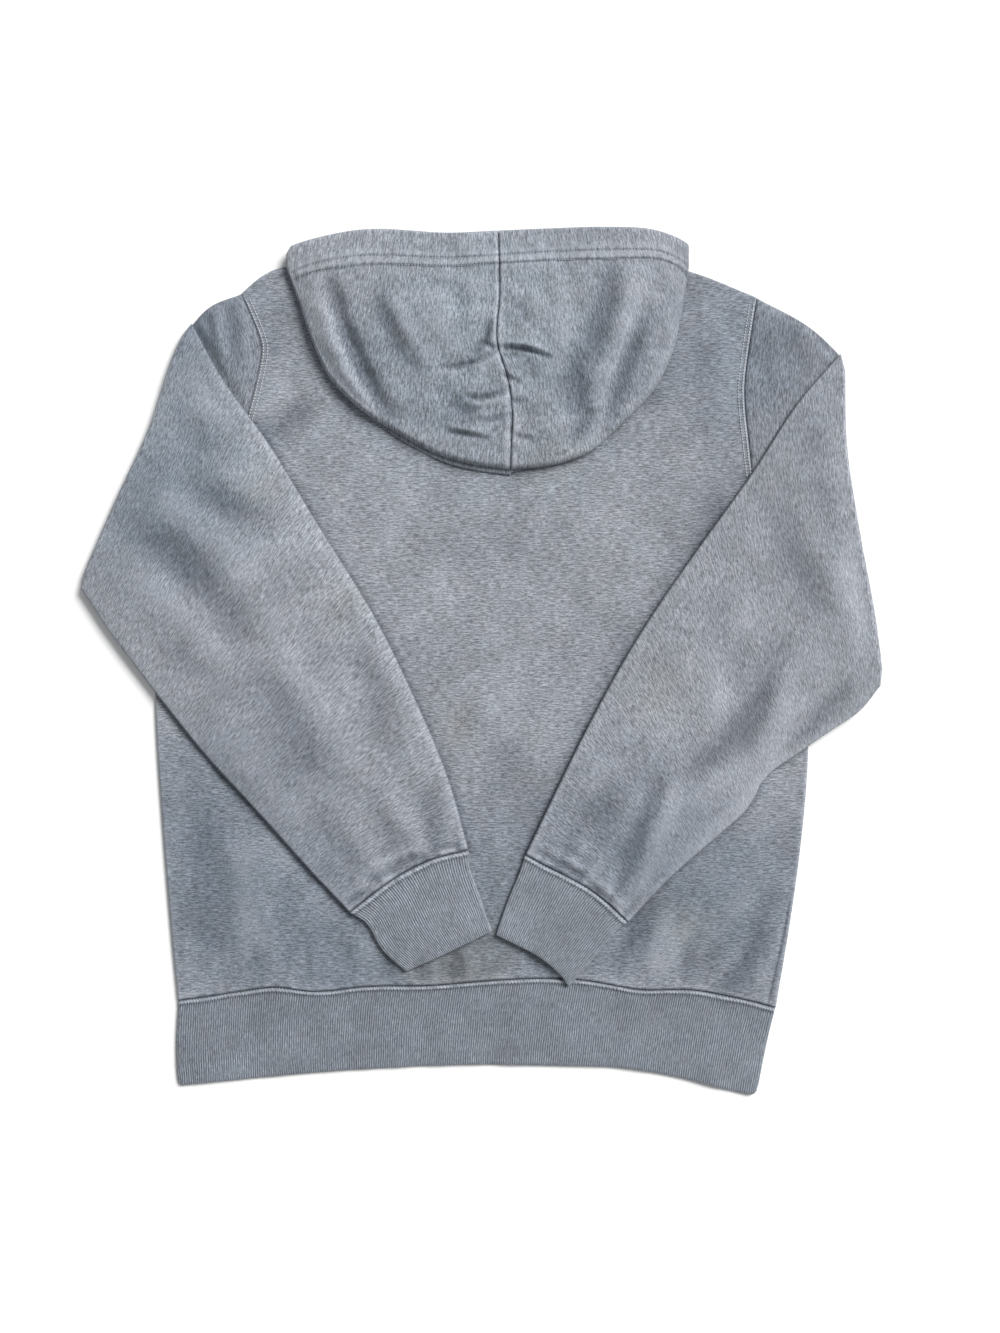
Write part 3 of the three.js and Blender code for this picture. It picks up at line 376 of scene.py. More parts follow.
def heather(name, middle, mix, streak_long, streak_thin, nap_depth, stained):
    """Knit cloth of mixed fibres: noise drawn out along the grain makes light and dark streaks, a
    finer one makes single fibres, a broad one fades the dye, and the fibres also lift the surface.
    Wear above nought shows pale worn fibres and painted highlight, and below it painted shade, dark as in a
    groove."""
    dark = tuple((1 - DARKER * mix) * channel for channel in middle)
    light = tuple((1 + PALER * mix) * channel for channel in middle)
    finish = bpy.data.materials.new(name)
    finish.use_nodes = True
    nodes = finish.node_tree.nodes
    links = finish.node_tree.links
    shader = nodes["Principled BSDF"]
    shader.inputs["Roughness"].default_value = 0.95
    shader.inputs["Specular IOR Level"].default_value = 0.15
    shader.inputs["Sheen Weight"].default_value = 0.22
    shader.inputs["Sheen Roughness"].default_value = 0.55
    cloth_map = nodes.new("ShaderNodeUVMap")
    cloth_map.uv_map = "grain"
    places = nodes.new("ShaderNodeTexCoord").outputs["Object"]

    def noise(source, scale, detail, rough=0.5):
        stretch = nodes.new("ShaderNodeMapping")
        stretch.inputs["Scale"].default_value = scale
        links.new(source, stretch.inputs["Vector"])
        texture = nodes.new("ShaderNodeTexNoise")
        texture.inputs["Scale"].default_value = 1.0
        texture.inputs["Detail"].default_value = detail
        texture.inputs["Roughness"].default_value = rough
        links.new(stretch.outputs["Vector"], texture.inputs["Vector"])
        return texture.outputs["Fac"]

    def reckon(kind, first, second):
        step = nodes.new("ShaderNodeMath")
        step.operation = kind
        for socket, value in zip(step.inputs, (first, second)):
            if isinstance(value, (int, float)):
                socket.default_value = value
            else:
                links.new(value, socket)
        return step.outputs[0]

    def added(*parts):
        total = None
        for value, share in parts:
            part = reckon("MULTIPLY", value, share)
            total = part if total is None else reckon("ADD", total, part)
        return total

    def ranged(value, low, high, to_low, to_high):
        step = nodes.new("ShaderNodeMapRange")
        for socket, number in zip(step.inputs[1:5], (low, high, to_low, to_high)):
            socket.default_value = number
        links.new(value, step.inputs[0])
        return step.outputs[0]

    def tinted(kind, factor, first, second):
        step = nodes.new("ShaderNodeMix")
        step.data_type = "RGBA"
        step.blend_type = kind
        for socket, value in zip((step.inputs[0], step.inputs[6], step.inputs[7]), (factor, first, second)):
            if isinstance(value, float):
                socket.default_value = value
            elif isinstance(value, tuple):
                socket.default_value = (*value, 1)
            else:
                links.new(value, socket)
        return step.outputs[2]

    grain = cloth_map.outputs["UV"]
    streaks = noise(grain, (1 / streak_long, 1 / streak_thin, 1), 1.0, 0.6)
    fibres = noise(grain, (FIBRE_SHORTER / streak_long, FIBRE_THINNER / streak_thin, 1), 1.0, 0.6)
    slubs = noise(grain, (SLUB_LONGER / streak_long, SLUB_THICKER / streak_thin, 1), 1.0)
    mixed = added((streaks, 0.5), (fibres, 0.35), (slubs, 0.15))
    ramp = nodes.new("ShaderNodeValToRGB")
    ramp.color_ramp.elements[0].position = DARK_BELOW
    ramp.color_ramp.elements[0].color = (*dark, 1)
    ramp.color_ramp.elements[1].position = PALE_ABOVE
    ramp.color_ramp.elements[1].color = (*light, 1)
    between = ramp.color_ramp.elements.new(0.5)
    between.color = (*middle, 1)
    links.new(mixed, ramp.inputs["Fac"])
    colour = ramp.outputs["Color"]

    broad = noise(places, (BROAD_TO_METRE,) * 3, 4.0)
    blotched = noise(places, (BLOTCHES_TO_METRE,) * 3, 2.0)
    faded = ranged(added((broad, 0.6), (blotched, 0.4)), 0.3, 0.7, *FADED_TONES)
    grey = nodes.new("ShaderNodeCombineColor")
    for socket in grey.inputs[:3]:
        links.new(faded, socket)
    colour = tinted("MULTIPLY", 1.0, colour, grey.outputs[0])
    hue = noise(places, (HUES_TO_METRE,) * 3, 3.0)
    colour = tinted("MULTIPLY", ranged(hue, *MIDDLE_OF_NOISE, 0.0, 1.0), colour, BLUER)
    if stained:
        ragged = noise(places, (RAGGED_TO_METRE,) * 3, 3.0)
        for x, y, radius, strength, tint in SPOTS:
            away = nodes.new("ShaderNodeVectorMath")
            away.operation = "DISTANCE"
            away.inputs[1].default_value = (x, y, SPOT_HEIGHT)
            links.new(places, away.inputs[0])
            edge = reckon("ADD", away.outputs["Value"], reckon("MULTIPLY", ragged, SPOT_RAGGED * radius))
            spot = ranged(edge, SPOT_CORE * radius, SPOT_REACH * radius, strength, 0.0)
            colour = tinted("MULTIPLY", spot, colour, tint)
    worn_and_shaded = nodes.new("ShaderNodeAttribute")
    worn_and_shaded.attribute_name = "wear_and_shade"
    pale = tuple(WORN_AND_LIT_PALER * channel for channel in middle)
    # Above nought: pale worn fibres, and painted highlight on fold ridges and rib tops.
    rubbed = reckon("MULTIPLY", worn_and_shaded.outputs["Fac"], ranged(fibres, *MIDDLE_OF_NOISE, LEAST_WORN_AND_LIT, 1.0))
    colour = tinted("MIX", ranged(rubbed, 0.0, 1.0, 0.0, 1.0), colour, pale)
    # Below nought: painted shade in grooves, creases and beside edges that rest on the cloth.
    shaded = ranged(worn_and_shaded.outputs["Fac"], -1.0, 0.0, 1.0, 0.0)
    colour = tinted("MULTIPLY", shaded, colour, PAINTED_SHADE_TINT)
    links.new(colour, shader.inputs["Base Color"])

    fuzz = noise(grain, (FUZZ_TO_METRE, FUZZ_TO_METRE, 1), 1.0)
    pilled = noise(places, (PILLS_TO_METRE,) * 3, 2.0)
    nap = added((fuzz, 0.5), (streaks, 0.45), (pilled, 0.35))
    lift = nodes.new("ShaderNodeBump")
    lift.inputs["Strength"].default_value = 0.3
    lift.inputs["Distance"].default_value = nap_depth
    links.new(nap, lift.inputs["Height"])
    links.new(lift.outputs["Normal"], shader.inputs["Normal"])
    return finish


FLEECE = heather("brushed_fleece", (0.236, 0.247, 0.276), 1.15, 0.0058, 0.00105, 0.00025, True)


def body_side(side, armhole):
    """Edge of a body panel: the side seam up to the underarm, then the armhole up to the shoulder."""
    def edge(v):
        low = curve(side, v / UNDERARM)
        high = curve(armhole, (1 - v) / (1 - UNDERARM))
        return np.where((v <= UNDERARM)[..., None], low, high)
    return edge


def body_top(neck):
    """Upper edge of a body panel: left shoulder, neckline and right shoulder."""
    def edge(u):
        left = curve(SHOULDER_LEFT, u / NECK_START)
        right = curve(SHOULDER_RIGHT, (u - NECK_STOP) / (1 - NECK_STOP))
        middle = curve(neck, (u - NECK_START) / (NECK_STOP - NECK_START))
        inner = np.where((u > NECK_STOP)[..., None], right, middle)
        return np.where((u < NECK_START)[..., None], left, inner)
    return edge


def body_place(neck, u, v):
    """Place on a body panel, u from left to right and v from the hem seam up to the neck."""
    left = body_side(SIDE_LEFT, ARMHOLE_LEFT)
    right = body_side(SIDE_RIGHT, ARMHOLE_RIGHT)
    return patch(left, right, HEM_SEAM, body_top(neck), u, v)


BODY_WIDE = 540.0
BODY_LONG = 640.0

# Right side seam: near the hem it lies a little inside the folded edge. Height above the hem seam, and
# how far in from the edge.
SIDE_SEAM = [(0, 7.6), (30, 5.6), (60, 3.9), (90, 3.0), (640, 3.0)]
SIDE_SEAM_TOP = 95.0
SIDE_SEAM_FADE = 20.0
SIDE_SEAM_WIDE = 0.9
SIDE_SEAM_DEEP = 0.6
SEAM_STRIP = 12.6
SEAM_COLUMNS = (4.4, 2.6, 1.3, 0.6, 0, -0.6, -1.3)
EDGE_COLUMNS = (0.66, 0.33, 0)

# Rounding of the cloth at every edge, gathers along the hem seam, soft unevenness, wear beside the hem seam,
# the folded side and the armholes, painted shade in the grooves of the hem seam and the side seam, and
# painted shade and highlight of the folds.
EDGE_ROUND = 0.8
EDGE_ROUND_WIDE = 2.0
LEAST_THICK = 0.8
GATHER_PITCH = 11
GATHER_WANDER = 2.2
GATHER_HIGH = 0.5
GATHER_LONG = 12
SOFT_FROM_EDGE = 25
BROAD_SOFT = 0.5
FINE_SOFT = 0.16
HEM_RUBBED_AT = 3.2
HEM_RUBBED_WIDE = 1.8
HEM_GROOVE_SHADE = 0.9
SIDE_GROOVE_SHADE = 0.75
ARMHOLE_PALE = 0.45
SIDE_PALE = 0.2
FOLD_SHADE = 1.3


def body_panel(name, neck, step, is_back):
    """A body panel as a wall: its top edge is rounded off along every seam, and on the back small
    gathers stand along the hem seam, and a few columns of points follow the right side seam."""
    v = spread(BODY_LONG, step)[:, None]
    above_hem = v * BODY_LONG
    u = spread(BODY_WIDE, step)[None, :] + 0 * v
    seam = np.array(SIDE_SEAM, float)
    inset = np.interp(above_hem, seam[:, 0], seam[:, 1])
    if is_back:
        near_seam = inset + np.array([SEAM_COLUMNS])
        near_edge = (inset + SEAM_COLUMNS[-1]) * np.array([EDGE_COLUMNS])
        last = np.concatenate([near_seam, near_edge], axis=1)
        u = u[:, (1 - u[0]) * BODY_WIDE > SEAM_STRIP]
        u = np.concatenate([u, 1 - last / BODY_WIDE], axis=1)
    at = body_place(neck, u, v)
    x, y = at[..., 0], at[..., 1]
    side_near = np.minimum(u, 1 - u) * BODY_WIDE
    end_near = np.minimum(v, 1 - v) * BODY_LONG + 0 * u
    edge_near = np.minimum(side_near, end_near)
    seam_round = EDGE_ROUND * np.clip(1 - edge_near / EDGE_ROUND_WIDE, 0, 1) ** 2
    above_hem = above_hem + 0 * u
    below_arm = v < UNDERARM
    if is_back:
        wander = GATHER_WANDER * lumps(x, 0 * y, 60, 5)
        wave = np.sin(x * 2 * np.pi / GATHER_PITCH + wander) * (1 + lumps(x, 0 * y, 45, 6))
        gather = GATHER_HIGH * wave * np.exp(-above_hem / GATHER_LONG) * smooth(above_hem / 3)
        ease = smooth(edge_near / SOFT_FROM_EDGE)
        rise = body_rise(x, y)
        soft = (BROAD_SOFT * lumps(x, y, 52, 1) + FINE_SOFT * lumps(x, y, 21, 2)) * ease
        from_seam = (1 - u) * BODY_WIDE - inset
        seam_there = smooth((SIDE_SEAM_TOP - above_hem) / SIDE_SEAM_FADE)
        side_groove = bell(from_seam, SIDE_SEAM_WIDE) * seam_there
        low = CLOTH + SEAM_GAP + rise
        top = low + CLOTH - seam_round + gather + soft - SIDE_SEAM_DEEP * side_groove
        low = np.minimum(low, top - LEAST_THICK)
        groove = smooth((1.6 - above_hem) / 1.2)
        uneven = 0.35 + 0.3 * lumps(x, 0 * y, 30, 3)
        rubbed = uneven * bell(above_hem - HEM_RUBBED_AT, HEM_RUBBED_WIDE)
        # Painted shade: darker down in the grooves of the hem seam and the side seam.
        worn_and_shaded = rubbed - HEM_GROOVE_SHADE * groove - SIDE_GROOVE_SHADE * side_groove
        arm_edge = smooth((2.6 - side_near) / 2.0) * ~below_arm
        side_edge = bell(side_near - 1.2, 1.2) * below_arm
        worn_and_shaded = worn_and_shaded + ARMHOLE_PALE * arm_edge + SIDE_PALE * side_edge
        # Painted shade and highlight of the body's folds and soft lumps.
        worn_and_shaded = worn_and_shaded + painted_fold_shade(FOLD_SHADE * fold_height(BODY_FOLDS, x, y) + soft)
    else:
        top = np.full_like(x, CLOTH)
        low = seam_round
        worn_and_shaded = 0 * x
    grain = np.stack([x, y], -1)
    return wall(name, np.dstack([at, top]), np.dstack([at, low]), False, grain, worn_and_shaded, FLEECE)


SPINDLE_SIDES = 6
SPINDLE_POINTS = 2 * SPINDLE_SIDES + 2
SPINDLE_SHOULDER = 0.55
HEADING_STEP = 0.4


def stitches(name, lines, pitch, long, thick, finish):
    """Thread stitches along lines of points: each is a small spindle of two six-sided rings and two
    tips, laid along its line."""
    turn = np.arange(SPINDLE_SIDES) * np.pi / 3
    rings = [np.stack([np.full(SPINDLE_SIDES, end), np.cos(turn), np.sin(turn)], -1)
             for end in (-SPINDLE_SHOULDER, SPINDLE_SHOULDER)]
    spindle = np.concatenate([*rings, [(-1, 0, 0), (1, 0, 0)]])
    a = np.arange(SPINDLE_SIDES)
    b = (a + 1) % SPINDLE_SIDES
    far_a = a + SPINDLE_SIDES
    far_b = b + SPINDLE_SIDES
    sides = np.stack([a, b, far_b, far_a], -1)
    left_tip = np.stack([b, a, 0 * a + SPINDLE_POINTS - 2], -1)
    right_tip = np.stack([far_a, far_b, 0 * a + SPINDLE_POINTS - 1], -1)
    centres = []
    headings = []
    for line in lines:
        steps = np.linalg.norm(np.diff(line, axis=0), axis=1)
        reach = np.concatenate([[0], np.cumsum(steps)])
        at = np.arange(pitch / 2, reach[-1], pitch)
        centre = np.stack([np.interp(at, reach, line[:, n]) for n in range(3)], -1)
        ahead = np.stack([np.interp(at + HEADING_STEP, reach, line[:, n]) for n in range(3)], -1)
        behind = np.stack([np.interp(at - HEADING_STEP, reach, line[:, n]) for n in range(3)], -1)
        heading = ahead - behind
        centres.append(centre)
        headings.append(heading / np.linalg.norm(heading, axis=1)[:, None])
    centre = np.concatenate(centres)
    heading = np.concatenate(headings)
    across = np.cross([0, 0, 1], heading)
    across /= np.linalg.norm(across, axis=1)[:, None]
    upward = np.cross(heading, across)
    points = (centre[:, None]
              + heading[:, None] * spindle[None, :, :1] * long / 2
              + across[:, None] * spindle[None, :, 1:2] * thick / 2
              + upward[:, None] * spindle[None, :, 2:] * thick / 2)
    points[..., :2] -= CENTRE
    shift = (np.arange(len(centre)) * SPINDLE_POINTS)[:, None, None]
    faces = (sides[None] + shift).reshape(-1, 4).tolist()
    faces += (left_tip[None] + shift).reshape(-1, 3).tolist()
    faces += (right_tip[None] + shift).reshape(-1, 3).tolist()
    mesh = bpy.data.meshes.new(name)
    mesh.from_pydata((points.reshape(-1, 3) * MM).tolist(), [], faces)
    mesh.polygons.foreach_set("use_smooth", np.ones(len(faces), bool))
    mesh.update()
    piece = bpy.data.objects.new(name, mesh)
    bpy.context.scene.collection.objects.link(piece)
    mesh.materials.append(finish)
    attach(piece, "root")
    return piece


def thread_finish():
    """Matt spun thread: a pale grey-blue, with a fine twist in its tone and its surface."""
    finish = bpy.data.materials.new("sewing_thread")
    finish.use_nodes = True
    nodes = finish.node_tree.nodes
    links = finish.node_tree.links
    shader = nodes["Principled BSDF"]
    shader.inputs["Roughness"].default_value = 0.7
    twist = nodes.new("ShaderNodeTexNoise")
    twist.inputs["Scale"].default_value = 900.0
    links.new(nodes.new("ShaderNodeTexCoord").outputs["Object"], twist.inputs["Vector"])
    ramp = nodes.new("ShaderNodeValToRGB")
    ramp.color_ramp.elements[0].color = (0.34, 0.36, 0.40, 1)
    ramp.color_ramp.elements[1].color = (0.56, 0.58, 0.62, 1)
    links.new(twist.outputs["Fac"], ramp.inputs["Fac"])
    links.new(ramp.outputs["Color"], shader.inputs["Base Color"])
    lift = nodes.new("ShaderNodeBump")
    lift.inputs["Distance"].default_value = 0.0001
    links.new(twist.outputs["Fac"], lift.inputs["Height"])
    links.new(lift.outputs["Normal"], shader.inputs["Normal"])
    return finish


THREAD = thread_finish()

front_panel = body_panel("front_panel", FRONT_NECK, 12.0, False)
back_panel = body_panel("back_panel", BACK_NECK, 3.4, True)

# Stitch lines beside the armholes lie on the back panel: how far in from the seam each one runs, and
# how much of the armhole shows.
ARMHOLE_LINES = (1.7, 5.2)
ARMHOLE_SHOWN = (0.02, 0.55)
STITCH_LIFT = 0.25
armhole_lines = []
for side, inward in ((ARMHOLE_LEFT, 1), (ARMHOLE_RIGHT, -1)):
    t = np.linspace(*ARMHOLE_SHOWN, 90)
    seam = curve(side, t)
    for away in ARMHOLE_LINES:
        x = seam[:, 0] + inward * away
        z = FLAT_TUBE + body_rise(x, seam[:, 1]) + STITCH_LIFT
        armhole_lines.append(np.stack([x, seam[:, 1], z], -1))
armhole_stitches = stitches("armhole_stitches", armhole_lines, 2.6, 2.4, 0.95, THREAD)

for piece, node in ((front_panel, "front"), (back_panel, "back")):
    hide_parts(node)
    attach(piece, "root")

# Sleeves: one cut of fleece each, closed by an underarm seam and set into the armhole. Each lies out
# flat as far as a fold, and turns there to lie back over the body as far as its cuff.
FOLD_LEFT = [(-248.5, 292.5), (-263.5, 257.4), (-281.2, 203), (-312, 136), (-343.6, 63.5)]
UPPER_LEFT = [
    (-222, 245.2), (-180.6, 186.6), (-139.2, 118.5), (-90.1, 38.4), (-48.7, -47), (-27.2, -100.4),
    (-10.3, -159.9),
]
LOWER_LEFT = [
    (-317.6, 24.6), (-282.3, -22), (-238.3, -77.1), (-189.2, -130.6), (-143.5, -181.5),
    (-112.9, -213.9),
]
CUFF_SEAM_LEFT = [(-10.3, -159.9), (-47, -170.3), (-77.1, -186.6), (-112.9, -213.9)]
FOLD_RIGHT = [(309.8, 266.5), (311.5, 188), (321.5, 119.4), (336, 40), (343.8, -20)]
UPPER_RIGHT = [
    (272.8, 223.7), (234, 164.2), (181.5, 90.9), (148.7, 43.5), (118.5, -5.6), (83.2, -72),
    (38.4, -164.5),
]
LOWER_RIGHT = [
    (327.1, -40.5), (305.6, -55.5), (287, -68), (268, -81.5), (252.5, -91.8), (241.5, -103), (235.5, -115.5),
    (226.5, -128.5), (206.5, -146.5), (193.6, -157.5), (175.6, -173), (155.5, -192), (127.1, -222.5),
]
CUFF_SEAM_RIGHT = [(38.4, -164.5), (60.8, -176.3), (87.5, -190), (108, -205), (127.1, -222.5)]
SLEEVE_LOFT = 5.0
CUFF_LOFT = 1.5
FOLD_FADE = 45.0
CAP_SPAN = 80.0
CAP_LOFT = 2.6
CAP_DEEPER = 0.16
CAP_BULGE = 5.0
CAP_BULGE_WIDE = 14.0
CAP_BULGE_POWER = 1.3
CAP_BULGE_ASIDE = 0.3
CAP_SOFT = 0.3
CAP_EDGE = 9
SLEEVE_ROUND = 260
CUFF_ROUND = 118
SLEEVE_NARROWS = 140

# Folds of the sleeves, in the same columns as those of the body, and of the caps, which show between
# the armholes and the folded sleeves.
SLEEVE_FOLDS = [
    (322, -18, 293, -45, 262, -74, 7, -4.4, 0.45),
    (304, -14, 272, -44, 240, -82, 9, 1.6, 0),
    (263, 26, 240, -30, 222, -98, 11, -4.4, 0.4),
    (224, 40, 205, -6, 196, -50, 10, 1.4, 0),
    (252, -18, 208, -70, 162, -106, 11, -4.6, 0.35),
    (158, -96, 136, -144, 116, -204, 9, -5.0, 0.5),
    (262, -78, 210, -136, 152, -184, 9, 2.2, 0),
    (128, -92, 102, -136, 86, -186, 12, -2.2, 0.3),
    (180, -84, 156, -126, 134, -180, 7, 1.4, 0),
    (96, -120, 74, -154, 62, -186, 8, -1.8, 0.3),
    (-318, 124, -250, 82, -198, 10, 17, -4.6, 0.35),
    (-262, 166, -222, 139, -170, 116, 14, -3.6, 0.35),
    (-306, 84, -262, 46, -226, -4, 13, 1.8, 0),
    (-290, 40, -246, 0, -204, -44, 14, -2.2, 0.3),
    (-210, 24, -168, -44, -128, -112, 16, -2.6, 0.3),
    (-236, -40, -190, -96, -150, -150, 13, 1.4, 0),
    (-120, 60, -90, -26, -62, -116, 14, -2.2, 0.3),
    (-104, -104, -78, -146, -64, -186, 8, -2.8, 0.4),
    (-52, -92, -42, -130, -34, -168, 8, -2.2, 0.4),
    (-150, -120, -122, -156, -100, -192, 9, -2.2, 0.35),
    (-80, -178, -62, -170, -42, -167, 4.4, -3.2, 0.5),
    (-116, -208, -102, -199, -88, -195, 4.2, -3.4, 0.5),
    (-102, -193, -84, -181, -64, -174, 4.4, -2.4, 0.4),
    (-42, -161, -28, -157, -14, -157, 3.2, -1.5, 0.4),
    (-96, -168, -84, -160, -70, -157, 5.0, -1.2, 0.3),
    (56, -169, 74, -177, 92, -188, 4.4, -3.0, 0.5),
    (90, -190, 104, -201, 117, -215, 4.2, -3.4, 0.5),
    (44, -161, 54, -164, 64, -169, 3.2, -1.5, 0.4),
    (70, -156, 82, -166, 92, -178, 5.0, -1.3, 0.3),
    (240, 150, 268, 90, 300, 40, 18, -3.0, 0.3),
    (196, 70, 214, 10, 220, -40, 14, -1.8, 0.3),
    (286, 220, 292, 150, 312, 90, 14, -2.6, 0.3),
    (318, 110, 322, 60, 330, 10, 9, 1.6, 0),
    (-262, 226, -242, 194, -212, 176, 12, -2.6, 0.3),
    (-252, 270, -240, 232, -214, 204, 9, 1.4, 0),
]
CAP_FOLDS = [
    (-252, 297, -241, 282, -231, 264, 3.4, -3.4, 0.3),
    (-236, 308, -234, 286, -226, 254, 4.5, -2.0, 0.3),
    (-228, 310, -225, 286, -217, 250, 5, 1.4, 0),
    (-216, 316, -214, 290, -210, 250, 6, -1.8, 0.3),
    (-204, 300, -201, 270, -204, 232, 6, 0.8, 0),
    (290, 286, 300, 277, 311, 266, 4.5, -2.4, 0.3),
    (262, 300, 268, 276, 280, 250, 9, -1.4, 0.3),
    (246, 296, 244, 262, 246, 220, 8, -1.0, 0.3),
]


EDGE_POINTS = 7


def ring_columns(top_count, low_count):
    """Points round a flattened tube: how far across each lies, and its direction from the middle of
    the wall, as a sideways and an upward part."""
    edge = np.linspace(0, np.pi, EDGE_POINTS + 2)[1:-1]
    top = np.linspace(0, 1, top_count)
    low = np.linspace(1, 0, low_count)
    across = np.concatenate([top, np.ones(EDGE_POINTS), low, np.zeros(EDGE_POINTS)])
    turn = np.concatenate([0 * top, np.sin(edge), 0 * low, -np.sin(edge)])
    up = np.concatenate([0 * top + 1, np.cos(edge), 0 * low - 1, -np.cos(edge)])
    return across[None, :], turn[None, :], up[None, :]


# Columns and rows of a sleeve's grid, how its seams drop and its fold turns, the puckers above the
# cuff, the pale rim of the part that lies over the back, and the painted shade on the side of that part that
# turns under.
TOP_COLUMNS = 96
UNDER_COLUMNS = 24
CAP_ROWS = 30
TURN_ROWS = 15
SLEEVE_SEAM_DROP = 0.6
CUFF_SEAM_DROP = 0.8
SEAM_DROP_LONG = 2.4
FOLD_CORNER = 16
FOLD_PALE = 0.25
CUFF_END_FROM = 0.8
PUCKER_PITCH = 9.5
PUCKER_HIGH = 0.9
RIM_PALE = 0.22
TURNED_UNDER_SHADE = 0.7


